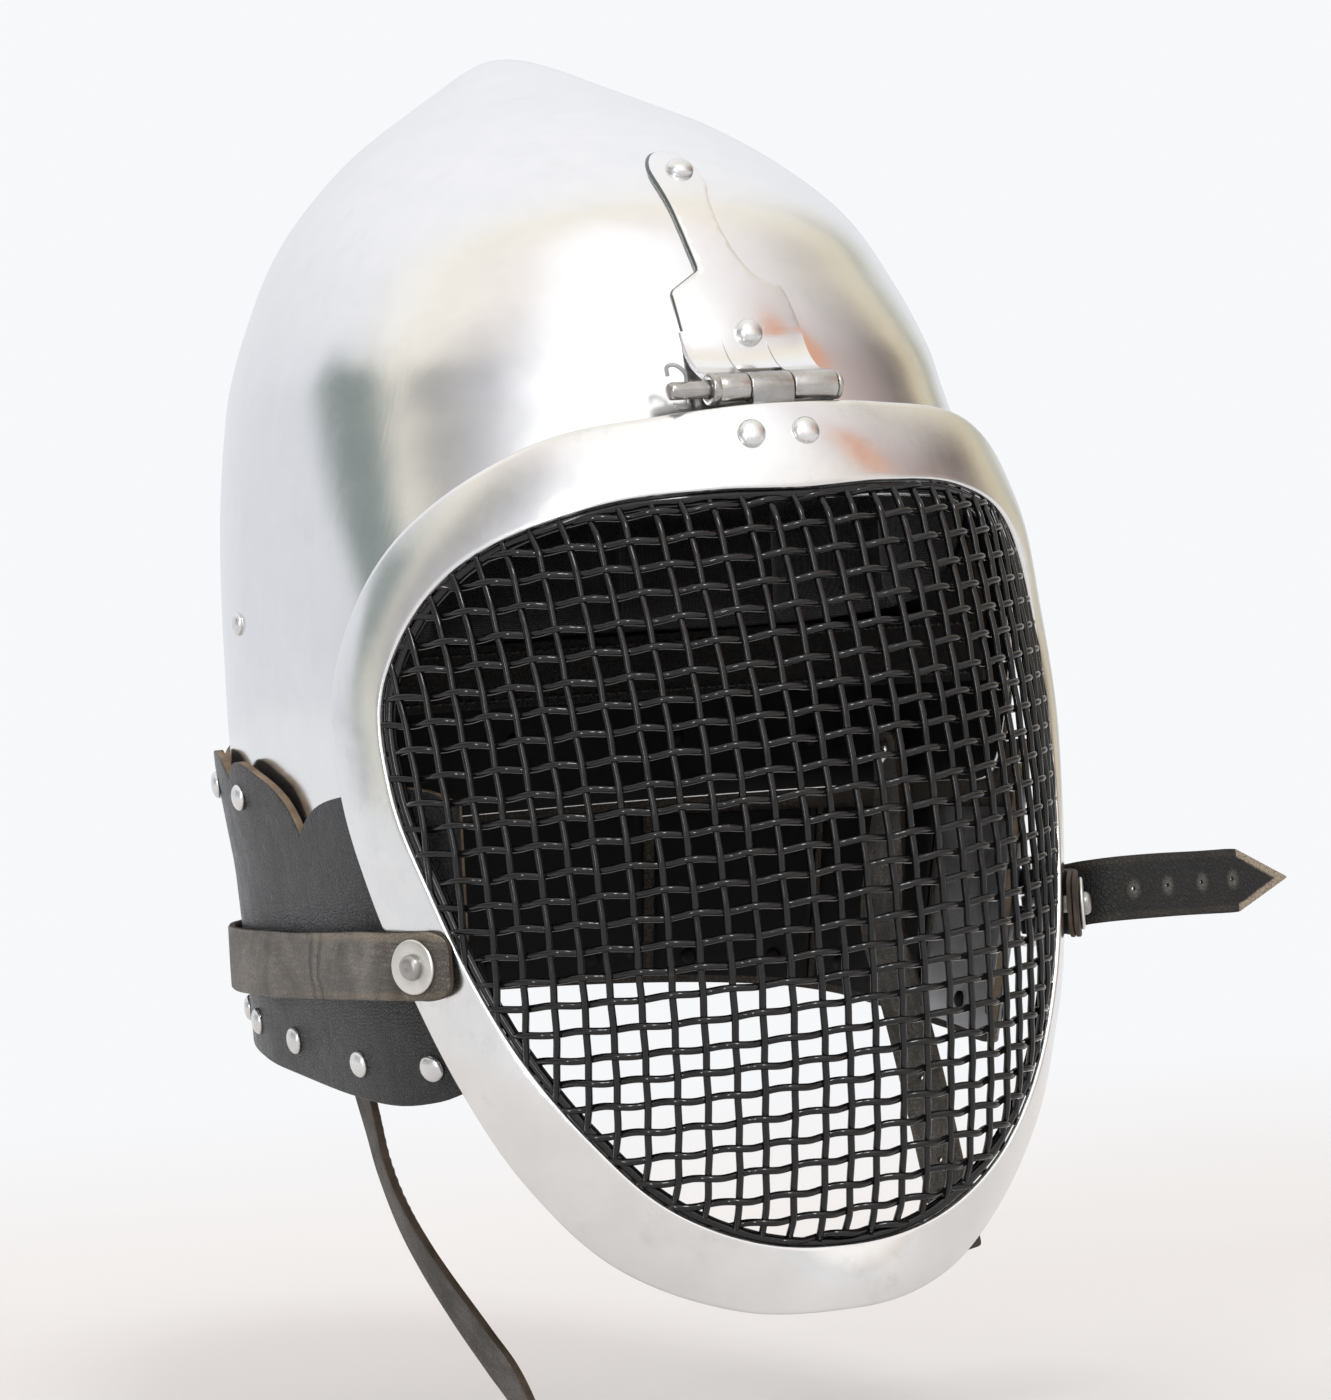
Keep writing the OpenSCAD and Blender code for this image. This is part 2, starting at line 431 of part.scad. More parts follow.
tab_line = path([[99.5, -99.9, 0], [102.6, -95.8, 0], [105.3, -91.5, 0], [107.9, -87.1, 0], [110, -82.2, 0], [110.9, -77, 0], [110.3, -70.5, 0], [108.6, -63.8, 0]], 2);
M_tab = [103.9, -90.7, 0];
N_tab = unit([0.85, -0.527, 0]);
module buckle_tab() {
  n = len(tab_line);
  color([0.2, 0.17, 0.15]) difference() {
    union() {
      upright_band(tab_line, [for (i = [0:n - 1]) i < 4 ? strap_w * [0.55, 0.8, 0.94, 1][i] : strap_w], tab_t);
      translate(bar_in - [0, 0, strap_w / 2]) cylinder(r = 3.6, h = strap_w, $fn = 48);
    }
    translate(bar_in - [0, 0, 20]) cylinder(r = 1.65, h = 40, $fn = 48);
    translate(bar_in - [6, 2.5, 2.2]) cube([12, 12, 4.4]);
    translate(bar_in - [6, 6.2, 2.2]) cube([12, 12, 4.4]);
  }
}
module tab_washer() {
  color([0.74, 0.73, 0.7]) stand(M_tab + N_tab * (tab_t + 0.02), N_tab) washer(washer_r, 2.7, 1.2);
}
module tab_rivet() {
  color([0.78, 0.77, 0.74]) stand(M_tab + N_tab * (tab_t + 1.24), N_tab) rivet(3.5, 2.2, 2.6, tab_t + 4.5);
}
// rectangular wire buckle: hinge bar along Z at the origin, far bar at distance l along +Y
module wire_buckle(w, l, r) {
  translate([0, 0, -w / 2]) cylinder(r = r, h = w, $fn = 32);
  translate([0, l, -w / 2]) cylinder(r = r, h = w, $fn = 32);
  for (s = [-1, 1]) {
    translate([0, 0, s * w / 2]) rotate([-90, 0, 0]) cylinder(r = r, h = l, $fn = 32);
    for (y = [0, l]) translate([0, y, s * w / 2]) sphere(r = r, $fn = 32);
  }
}
// prong: eye round the bar at the origin, then a pin out to b in the XY plane
module prong(bar_r, b, r) {
  difference() {
    translate([0, 0, -1.7]) cylinder(r = 3, h = 3.4, $fn = 48);
    translate([0, 0, -4]) cylinder(r = bar_r + 0.05, h = 8, $fn = 48);
  }
  stand(unit(b) * 2.35, unit(b)) {
    cylinder(r = r, h = norm(b) - 2.35, $fn = 32);
    translate([0, 0, norm(b) - 2.35]) cylinder(r1 = r, r2 = r * 0.5, h = 0.9, $fn = 32);
  }
}
buckle_turn = -atan2(bar_out[0] - bar_in[0], bar_out[1] - bar_in[1]);
buckle_len = norm(bar_out - bar_in);
module closure_buckle() {
  color([0.6, 0.6, 0.58]) translate(bar_in) rotate([0, 0, buckle_turn]) wire_buckle(24.6, buckle_len, 1.6);
}
module closure_prong() {
  color([0.6, 0.6, 0.58]) translate(bar_in) prong(1.6, [8.9, 20.4, 0], 1.2);
}

// ---------- chin straps ----------
chin_pivot = [98.2, 2, 46];
chin_right_line = [[-98.2, 2, 52], [-98.2, 2, 46], [-97, 0, 30], [-94.5, -4.5, 5], [-91.5, -10.5, -20], [-88, -15, -45], [-84.8, -15.2, -61],
  [-81, -17.5, -75], [-77, -23.6, -88], [-73, -33, -100.5], [-69.5, -46, -113], [-67, -56.5, -122.5], [-65.6, -64.5, -133], [-65, -69.5, -143]];
chin_left_line = [[98.2, 2, 52], [98.2, 2, 46], [96.8, 0, 30], [92.5, -2.5, 10], [88.5, -6, -8], [87, -16, -25], [85.5, -29.5, -51], [84, -42, -80], [82, -52, -102]];
module chin_band(L, flat1) {
  P = path(L, 2);
  band(P, [for (i = [0:len(P) - 1]) i == 0 ? chin_w * 0.6 : chin_w], chin_t, [1, 0, 0], flat1);
}
module pivot_hole(s) {
  translate([s * chin_pivot[0], chin_pivot[1], chin_pivot[2]]) rotate([0, 90, 0]) translate([0, 0, -10]) cylinder(r = shank_r + 0.05, h = 20, $fn = 32);
}
chin_end = [-65, -69.5, -143];
chin_dir = unit([0, -0.45, -0.89]);
chin_bar = chin_end + chin_dir * 2.4;
chin_roll = atan2(chin_dir[2], chin_dir[1]);
// local frame of the chin buckle: Y along the strap, Z across it, X its flat face
module at_chin_buckle() {
  translate(chin_bar) rotate([chin_roll, 0, 0]) children();
}
module chin_strap_right() {
  color([0.15, 0.13, 0.12]) difference() {
    union() {
      chin_band(chin_right_line, [1, -0.2, 0]);
      at_chin_buckle() translate([0, 0, -chin_w / 2]) cylinder(r = 3.4, h = chin_w, $fn = 48);
    }
    pivot_hole(-1);
    at_chin_buckle() translate([0, 0, -20]) cylinder(r = 1.55, h = 40, $fn = 48);
    at_chin_buckle() translate([-6, -5.6, -2.2]) cube([12, 14, 4.4]);
  }
}
module chin_strap_left() {
  color([0.15, 0.13, 0.12]) difference() {
    chin_band(chin_left_line, [0.8, 0.6, 0]);
    pivot_hole(1);
  }
}
module chin_strap_rivets() {
  color([0.8, 0.8, 0.79]) for (s = [-1, 1]) translate([s * chin_pivot[0], chin_pivot[1], chin_pivot[2]]) rotate([0, s * -90, 0]) {
    translate([0, 0, chin_t / 2 + 0.4]) rivet(3.8, 1.8, shank_r, 8.4);
  }
}
module chin_buckle() {
  color([0.6, 0.6, 0.58]) at_chin_buckle() wire_buckle(18.6, 16, 1.5);
}
module chin_prong() {
  color([0.6, 0.6, 0.58]) at_chin_buckle() prong(1.5, [3.6, 18.3, 0], 1.1);
}

skull_shell();
side_rivets();
hinge_plate();
plate_rivets();
hinge_pin();
pin_clip();
neck_skirt();
skirt_plates();
skirt_top_rivets();
skirt_lower_rivets();
liner_pads();
liner_band();
chin_strap_rivets();
visor_frame();
hinge_lug();
lug_rivets();
edge_rod();
mesh_uprights();
mesh_crosswires();
closure_strap();
strap_rivet();
strap_washer();
buckle_tab();
tab_rivet();
tab_washer();
closure_buckle();
closure_prong();
chin_strap_right();
chin_strap_left();
chin_buckle();
chin_prong();
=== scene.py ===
import math

import bpy
import numpy as np
from mathutils import Matrix, Vector, noise
from mathutils.geometry import delaunay_2d_cdt


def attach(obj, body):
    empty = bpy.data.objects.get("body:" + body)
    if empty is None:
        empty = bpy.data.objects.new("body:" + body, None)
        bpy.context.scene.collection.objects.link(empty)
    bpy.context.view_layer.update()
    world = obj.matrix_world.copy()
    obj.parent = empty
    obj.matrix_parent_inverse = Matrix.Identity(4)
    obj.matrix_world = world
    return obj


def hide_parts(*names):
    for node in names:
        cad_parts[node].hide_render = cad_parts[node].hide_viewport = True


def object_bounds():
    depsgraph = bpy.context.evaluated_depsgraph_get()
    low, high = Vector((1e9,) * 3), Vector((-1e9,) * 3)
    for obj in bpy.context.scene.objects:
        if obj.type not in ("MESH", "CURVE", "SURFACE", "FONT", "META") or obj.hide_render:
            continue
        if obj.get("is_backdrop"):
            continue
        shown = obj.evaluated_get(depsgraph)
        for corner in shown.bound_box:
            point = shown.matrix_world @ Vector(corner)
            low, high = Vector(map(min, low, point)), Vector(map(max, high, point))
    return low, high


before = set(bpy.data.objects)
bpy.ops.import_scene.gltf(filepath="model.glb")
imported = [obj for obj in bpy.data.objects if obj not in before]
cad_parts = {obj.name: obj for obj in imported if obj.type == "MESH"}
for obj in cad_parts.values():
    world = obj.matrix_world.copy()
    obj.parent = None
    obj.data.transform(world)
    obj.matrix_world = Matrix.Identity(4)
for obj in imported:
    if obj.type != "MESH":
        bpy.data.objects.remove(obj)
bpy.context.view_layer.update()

# Shapes are worked out in millimetres, in the CAD frame, and scaled to metres when a mesh is made.
rng = np.random.RandomState(7)

# ---------------------------------------------------------------- camera
PSI, ELEV, ROLL = math.radians(26.5), math.radians(0.7), math.radians(-3.8)
back = Vector((-math.sin(PSI) * math.cos(ELEV), -math.cos(PSI) * math.cos(ELEV), math.sin(ELEV)))
right = Vector((math.cos(PSI), -math.sin(PSI), 0))
up = Vector((math.sin(ELEV) * math.sin(PSI), math.sin(ELEV) * math.cos(PSI), math.cos(ELEV)))
cam_x = math.cos(ROLL) * right + math.sin(ROLL) * up
cam_y = -math.sin(ROLL) * right + math.cos(ROLL) * up
cam_at = (Vector((0, 0, 60)) + 20.0 * cam_x + 7.8 * cam_y + 1513.7 * back) / 1000
cam_data = bpy.data.cameras.new("camera")
cam_data.sensor_width = 36
cam_data.lens = 36 * 5094.9 / 1400
cam_data.clip_start, cam_data.clip_end = 0.05, 60
cam = bpy.data.objects.new("camera", cam_data)
bpy.context.scene.collection.objects.link(cam)
cam.matrix_world = Matrix((
    (cam_x[0], cam_y[0], back[0], cam_at[0]),
    (cam_x[1], cam_y[1], back[1], cam_at[1]),
    (cam_x[2], cam_y[2], back[2], cam_at[2]),
    (0, 0, 0, 1)))
bpy.context.scene.camera = cam
bpy.context.scene.view_settings.view_transform = "Standard"
bpy.context.scene.view_settings.look = "None"


# ---------------------------------------------------------------- form functions, as in the CAD source
def sm(t, T):
    T, t = np.asarray(T, float), np.asarray(t, float)
    K, m = T[:, 0], len(T)
    i = np.clip(np.searchsorted(K, t, side="right") - 1, 0, m - 2)
    G = np.array([(T[min(j + 1, m - 1), 1:] - T[max(j - 1, 0), 1:]) / (K[min(j + 1, m - 1)] - K[max(j - 1, 0)]) for j in range(m)])
    h = (K[i + 1] - K[i])[..., None]
    u = np.clip((t[..., None] - K[i][..., None]) / h, 0, 1)
    return ((2 * u**3 - 3 * u * u + 1) * T[i, 1:] + (u**3 - 2 * u * u + u) * G[i] * h
            + (-2 * u**3 + 3 * u * u) * T[i + 1, 1:] + (u**3 - u * u) * G[i + 1] * h)


def unit(v):
    v = np.asarray(v, float)
    return v / np.maximum(np.linalg.norm(v, axis=-1, keepdims=True), 1e-9)


def path(P, n):
    P = [np.array(p, float) for p in P]
    m, out = len(P), []
    for i in range(m - 1):
        p0, p1, p2, p3 = P[max(i - 1, 0)], P[i], P[i + 1], P[min(i + 2, m - 1)]
        for j in range(n):
            u = j / n
            out.append(0.5 * (2 * p1 + (p2 - p0) * u + (2 * p0 - 5 * p1 + 4 * p2 - p3) * u * u + (3 * p1 - p0 - 3 * p2 + p3) * u**3))
    return np.array(out + [P[-1]])


BODY = [
    [-45, 96.5, -90, 127, 4.2], [0, 100.6, -100, 121.5, 4.4], [60, 106.3, -110, 119, 4.3],
    [90, 107, -114.5, 118.5, 3.75], [112, 106.9, -116.4, 117.6, 2.95], [130, 106.1, -116.3, 116, 2.45],
    [150, 104.1, -114.2, 112.6, 2.15], [166, 101.5, -110.2, 108.4, 2.05], [185, 94.5, -101, 102.4, 2],
    [205, 83.7, -87.4, 95.6, 2], [221, 69.6, -67, 86.4, 2], [235, 53, -41.7, 75.2, 2],
    [246, 35.5, -14, 62, 2], [252, 25.4, 1.6, 54.2, 2], [257, 17, 14, 48.6, 2],
    [260.5, 10, 24, 44.4, 2], [262.4, 4.6, 31.6, 41.2, 2], [263, 0.4, 37.4, 38.4, 2]]


def skin_pt(a, z):
    a, z = np.broadcast_arrays(np.asarray(a, float), np.asarray(z, float))
    f = sm(np.clip(z, -60, 263), BODY)
    w, f0, b0, n4 = f[..., 0], f[..., 1], f[..., 2], f[..., 3]
    c = (f0 + b0) / 2
    s, k = np.sin(np.radians(a)), -np.cos(np.radians(a))
    F, n = np.where(k < 0, c - f0, b0 - c), np.where(k < 0, n4, 2.0)
    r = ((np.abs(s) / w) ** n + (np.abs(k) / F) ** n) ** (-1 / n)
    return np.stack([r * s, c + r * k, z + 0 * r], -1)


def skin_n(a, z):
    zz = np.clip(z, -59, 262.5)
    return unit(np.cross(skin_pt(np.add(a, 0.4), zz) - skin_pt(np.subtract(a, 0.4), zz), skin_pt(a, zz + 0.4) - skin_pt(a, zz - 0.4)))


def off(a, z, d):
    return skin_pt(a, z) + np.asarray(d, float)[..., None] * skin_n(a, z)


def front_y(x, z):
    f = sm(z, BODY)
    c, n = (f[..., 1] + f[..., 2]) / 2, f[..., 3]
    return c - (c - f[..., 1]) * np.maximum(1 - (np.abs(x) / f[..., 0]) ** n, 0) ** (1 / n)


def fold(a):
    return np.where(np.asarray(a) > 180, 360 - np.asarray(a, float), a)


# ---------------------------------------------------------------- mesh helpers
def make(name, V, F, body, nodes=(), mats=(), mat_of=None, smooth=True, uv=None, slot=None, sharp=None):
    V = np.asarray(V, float) / 1000
    me = bpy.data.meshes.new(name)
    me.from_pydata([tuple(v) for v in V], [], [tuple(int(i) for i in f) for f in F])
    me.validate()
    ob = bpy.data.objects.new(name, me)
    bpy.context.scene.collection.objects.link(ob)
    for m in mats:
        me.materials.append(m)
    if mat_of is not None:
        me.polygons.foreach_set("material_index", np.asarray(mat_of, np.int32))
    me.polygons.foreach_set("use_smooth", [smooth] * len(me.polygons))
    if uv is not None:
        layer = me.uv_layers.new(name="UVMap")
        idx = np.zeros(len(me.loops), np.int32)
        me.loops.foreach_get("vertex_index", idx)
        layer.data.foreach_set("uv", (np.asarray(uv, float)[idx] / 1000).astype(np.float32).ravel())
    if sharp:
        me.update()
        me.set_sharp_from_angle(angle=math.radians(sharp))
    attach(ob, body)
    for n in nodes:
        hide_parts(n)
    return ob


class Build:
    def __init__(self):
        self.V, self.F, self.M, self.U, self.n = [], [], [], [], 0

    def add(self, V, F, m=0, U=None):
        V = np.asarray(V, float).reshape(-1, 3)
        self.V.append(V)
        self.U.append(np.zeros((len(V), 2)) if U is None else np.asarray(U, float).reshape(-1, 2))
        self.F += [tuple(i + self.n for i in f) for f in F]
        self.M += [m] * len(F) if np.isscalar(m) else list(m)
        self.n += len(V)

    def make(self, name, body, nodes=(), mats=(), **k):
        return make(name, np.concatenate(self.V), self.F, body, nodes, mats, self.M, uv=np.concatenate(self.U), **k)


def grid_faces(r, c, base=0, loop_r=False, loop_c=False, flip=False):
    F = []
    for i in range(r if loop_r else r - 1):
        for j in range(c if loop_c else c - 1):
            i1, j1 = (i + 1) % r, (j + 1) % c
            f = (base + i * c + j, base + i * c + j1, base + i1 * c + j1, base + i1 * c + j)
            F.append(f[::-1] if flip else f)
    return F


def tube(B, P, r, sides=10, closed=False, m=0, ref=None, caps=True, sx=1.0):
    """A tube round the points P; r is a number or one for each point."""
    P = np.asarray(P, float)
    n = len(P)
    T = unit(np.roll(P, -1, 0) - np.roll(P, 1, 0)) if closed else unit(np.gradient(P, axis=0))
    ref = np.array([0.13, 0.21, 0.97] if ref is None else ref, float)
    A = unit(np.cross(T, ref))
    C = np.cross(T, A)
    a = np.arange(sides) * 2 * math.pi / sides
    R = np.broadcast_to(np.asarray(r, float), (n,))
    V = P[:, None] + R[:, None, None] * (np.cos(a)[None, :, None] * A[:, None] * sx + np.sin(a)[None, :, None] * C[:, None])
    F = grid_faces(n, sides, loop_r=closed, loop_c=True)
    if caps and not closed:
        F += [tuple(range(sides))[::-1], tuple((n - 1) * sides + j for j in range(sides))]
    s = np.concatenate([[0], np.cumsum(np.linalg.norm(np.diff(P, axis=0), axis=1))])
    U = np.stack([np.repeat(s, sides), np.tile(a * 1.0, n)], -1)
    B.add(V.reshape(-1, 3), F, m, U)


def basis(n):
    n = unit(n)
    h = np.array([0, 0, 1.0]) if abs(n[2]) < 0.9 else np.array([0, 1.0, 0])
    x = unit(np.cross(h, n))
    return x, np.cross(n, x), n


def lathe(B, prof, p, n, sides=40, m=0, turn=0.0, wob=0.0):
    """A turned shape: profile rows (radius, height), standing along n at p."""
    X, Y, Z = basis(n)
    a = np.arange(sides) * 2 * math.pi / sides + turn
    V, k = [], len(prof)
    for r, h in prof:
        rr = r * (1 + wob * np.cos(2 * a + turn * 3) + 0.6 * wob * np.cos(3 * a + turn * 5))
        V.append(np.asarray(p, float) + (rr * np.cos(a))[:, None] * X + (rr * np.sin(a))[:, None] * Y + h * Z)
    F = grid_faces(k, sides, loop_c=True)
    V = np.concatenate(V)
    if prof[0][0] > 1e-6 and prof[-1][0] > 1e-6 and (abs(prof[0][0] - prof[-1][0]) < 1e-9 and abs(prof[0][1] - prof[-1][1]) < 1e-9):
        V = V[: (k - 1) * sides]
        F = grid_faces(k - 1, sides, loop_r=True, loop_c=True)
    else:
        F += [tuple(range(sides))[::-1], tuple((k - 1) * sides + j for j in range(sides))]
    B.add(V, F, m)


def dome(r, h, sink=0.0):
    """A rivet head's profile: a round head with a soft rim, a little flat on top."""
    rows = [(r * 0.55, -0.25 - sink), (r * 0.97, -0.12), (r, 0.12)]
    for i in range(1, 9):
        t = math.radians(i * 10)
        rows.append((r * math.cos(t) ** 0.9, 0.12 + (h - 0.12) * math.sin(t) ** 0.92))
    return rows + [(r * 0.06, h)]


def inside_poly(P, poly):
    x, y = P[:, 0], P[:, 1]
    c = np.zeros(len(P), bool)
    j = len(poly) - 1
    for i in range(len(poly)):
        xi, yi, xj, yj = poly[i][0], poly[i][1], poly[j][0], poly[j][1]
        if yi != yj:
            c ^= ((yi > y) != (yj > y)) & (x < (xj - xi) * (y - yi) / (yj - yi) + xi)
        j = i
    return c


def dense(poly, step):
    out = []
    for i, p in enumerate(poly):
        q = poly[(i + 1) % len(poly)]
        n = max(1, int(math.ceil(math.dist(p, q) / step)))
        out += [(p[0] + (q[0] - p[0]) * k / n, p[1] + (q[1] - p[1]) * k / n) for k in range(n)]
    return np.array(out)


def seg_dist(P, poly):
    d = np.full(len(P), 1e9)
    for i in range(len(poly)):
        a, b = poly[i], poly[(i + 1) % len(poly)]
        e = b - a
        t = np.clip(((P - a) @ e) / max(e @ e, 1e-12), 0, 1)
        d = np.minimum(d, np.linalg.norm(P - a - t[:, None] * e, axis=1))
    return d


def cut_sheet(B, outline, holes, place, t, step=2.0, fine=0.9, bevel=0.45, face_m=0, back_m=0, edge_m=1, lift=None):
    """A flat cut sheet with holes, bent by place(points, d), d from 0 at its back to t at its face. Edges are eased."""
    loops = [dense([tuple(p) for p in outline], fine)] + [dense([tuple(p) for p in h], fine) for h in holes]
    pts, edges, faces = [], [], []
    for L in loops:
        b = len(pts)
        pts += [Vector(p) for p in L]
        edges += [(b + i, b + (i + 1) % len(L)) for i in range(len(L))]
    big = loops[0]
    lo, hi = big.min(0), big.max(0)
    X = np.arange(lo[0] + step * 0.5, hi[0], step)
    Y = np.linspace(lo[1], hi[1], max(3, int((hi[1] - lo[1]) / step) + 2))[1:-1]
    G = np.array([(x + (step * 0.5 if k % 2 else 0), y) for k, y in enumerate(Y) for x in X])
    # rings just inside each loop carry the eased edge
    ring = []
    for k, L in enumerate(loops):
        T = unit(np.roll(L, -1, 0) - np.roll(L, 1, 0))
        N = np.stack([-T[:, 1], T[:, 0]], -1)
        area = 0.5 * np.sum(L[:, 0] * np.roll(L[:, 1], -1) - np.roll(L[:, 0], -1) * L[:, 1])
        N = N if (area > 0) == (k == 0) else -N
        ring.append(L + N * bevel)
    cand = np.concatenate([G] + ring)
    ok = inside_poly(cand, loops[0])
    for L in loops[1:]:
        ok &= ~inside_poly(cand, L)
    dist = np.min([seg_dist(cand, L) for L in loops], 0)
    need = np.concatenate([np.full(len(G), bevel * 2.2)] + [np.full(len(r_), bevel * 0.8) for r_ in ring])
    pts += [Vector(p) for p in cand[ok & (dist > need)]]
    out = delaunay_2d_cdt(pts, edges, [], 0, 1e-5)
    V2 = np.array([tuple(v) for v in out[0]])
    tris = [f for f in out[2]]
    C = np.array([V2[list(f)].mean(0) for f in tris])
    keep = inside_poly(C, loops[0])
    for L in loops[1:]:
        keep &= ~inside_poly(C, L)
    tris = [f if np.cross(V2[f[1]] - V2[f[0]], V2[f[2]] - V2[f[0]]) > 0 else f[::-1] for f, k in zip(tris, keep) if k]
    dist = np.min([seg_dist(V2, L) for L in loops], 0)
    ease = bevel * 0.8 * (1 - np.clip(dist / bevel, 0, 1)) ** 2
    extra = 0 if lift is None else lift(V2)
    top = place(V2, t - ease + extra)
    bot = place(V2, 0 + ease * 0.6)
    n = len(V2)
    used = {}
    for f in tris:
        for i in range(3):
            used[(f[i], f[(i + 1) % 3])] = 1
    rim = [(a, b) for (a, b) in used if (b, a) not in used]
    F = [tuple(f) for f in tris] + [(f[2] + n, f[1] + n, f[0] + n) for f in tris] + [(b, a, a + n, b + n) for a, b in rim]
    M = [face_m] * len(tris) + [back_m] * len(tris) + [edge_m] * len(rim)
    B.add(np.concatenate([top, bot]), F, M, np.concatenate([V2, V2]))


def disc_poly(c, r, n=16):
    return [(c[0] + r * math.cos(2 * math.pi * i / n), c[1] + r * math.sin(2 * math.pi * i / n)) for i in range(n)]


def rough(P, scale, seed=0.0):
    """Smooth noise at each point, about -1..1."""
    return np.array([noise.noise(Vector((p[0] * scale + seed, p[1] * scale - seed, p[2] * scale + 2 * seed))) for p in np.asarray(P).reshape(-1, 3)]) * 1.6


# ---------------------------------------------------------------- materials
class Mat:
    def __init__(self, name):
        self.m = bpy.data.materials.new(name)
        self.m.use_nodes = True
        self.t = self.m.node_tree
        self.b = self.t.nodes["Principled BSDF"]
        self.tc = self.t.nodes.new("ShaderNodeTexCoord")

    def set(self, **k):
        for n, v in k.items():
            s = self.b.inputs[n.replace("_", " ")]
            s.default_value = (*v, 1) if isinstance(v, tuple) and len(v) == 3 else v
        return self

    def node(self, kind, ins=None, **props):
        n = self.t.nodes.new("ShaderNode" + kind)
        for k, v in props.items():
            setattr(n, k, v)
        for k, v in (ins or {}).items():
            s = n.inputs[k]
            if isinstance(v, bpy.types.NodeSocket):
                self.t.links.new(v, s)
            else:
                s.default_value = v
        return n

    def coord(self, scale=(1, 1, 1), rot=(0, 0, 0), uv=False):
        n = self.node("Mapping", {"Scale": scale, "Rotation": rot})
        self.t.links.new(self.tc.outputs["UV" if uv else "Object"], n.inputs["Vector"])
        return n.outputs[0]

    def noise(self, scale, detail=3.0, rough=0.55, at=None, dist=0.0):
        return self.node("TexNoise", {"Vector": at or self.coord(), "Scale": scale, "Detail": detail, "Roughness": rough, "Distortion": dist}).outputs[0]

    def ramp(self, fac, *stops, mode="LINEAR"):
        n = self.node("ValToRGB", {"Fac": fac})
        r = n.color_ramp
        r.interpolation = mode
        while len(r.elements) < len(stops):
            r.elements.new(0.5)
        for e, (p, c) in zip(r.elements, stops):
            e.position = p
            e.color = (*c, 1) if isinstance(c, tuple) else (c, c, c, 1)
        return n.outputs[0]

    def math(self, op, a, b=0.0, c=0.0, clamp=False):
        n = self.node("Math", {0: a, 1: b, 2: c}, operation=op)
        n.use_clamp = clamp
        return n.outputs[0]

    def mix(self, f, a, b, mode="MIX"):
        n = self.t.nodes.new("ShaderNodeMix")
        n.data_type, n.blend_type = "RGBA", mode
        for s, v in ((n.inputs[0], f), (n.inputs[6], a), (n.inputs[7], b)):
            if isinstance(v, bpy.types.NodeSocket):
                self.t.links.new(v, s)
            else:
                s.default_value = (*v, 1) if isinstance(v, tuple) else v
        return n.outputs[2]

    def range(self, v, a, b, c, d):
        return self.node("MapRange", {"Value": v, "From Min": a, "From Max": b, "To Min": c, "To Max": d}).outputs[0]

    def bumps(self, *rows):
        last = None
        for h, dist in rows:
            n = self.node("Bump", {"Height": h, "Distance": dist, "Strength": 1.0})
            if last:
                self.t.links.new(last, n.inputs["Normal"])
            last = n.outputs[0]
        self.t.links.new(last, self.b.inputs["Normal"])
        return self

    def link(self, **k):
        for n, s in k.items():
            self.t.links.new(s, self.b.inputs[n.replace("_", " ")])
        return self


def steel(name, lo, hi, r0, r1, hammer=0.00010, brush=(60, 60, 4), scratch=0.000010, grime=0.25, spots=0.0):
    """Hand-polished steel: soft waves left by the hammer, fine brushing, patchy gloss and a little grime."""
    M = Mat(name).set(Metallic=1.0)
    broad, patch = M.noise(26, 2.0, 0.4), M.noise(75, 4.0, 0.62, dist=0.4)
    fine = M.noise(38, 2.0, 0.7, at=M.coord(brush))
    hair = M.noise(90, 3.0, 0.75, at=M.coord((brush[0] * 1.6, brush[1] * 1.6, brush[2] * 0.5), rot=(0.05, 0.03, 0)))
    col = M.ramp(patch, (0.25, lo), (0.7, hi))
    dirt = M.ramp(M.math("MULTIPLY", M.noise(31, 5.0, 0.68, dist=0.8), M.noise(120, 4.0, 0.6)), (0.30, 0.0), (0.52, 1.0))
    col = M.mix(M.math("MULTIPLY", dirt, grime), col, (0.34, 0.33, 0.32))
    col = M.mix(M.math("MULTIPLY", M.ramp(hair, (0.45, 0.0), (0.75, 1.0)), 0.10), col, (0.95, 0.95, 0.95))
    rough = M.math("ADD", M.range(patch, 0.25, 0.75, r0, r1), M.math("MULTIPLY", dirt, 0.10))
    rough = M.math("ADD", rough, M.range(fine, 0.3, 0.7, -0.015, 0.025))
    return M.link(Base_Color=col, Roughness=rough).bumps((broad, hammer * 8), (patch, hammer * 0.8), (fine, scratch), (hair, scratch * 0.7)).m


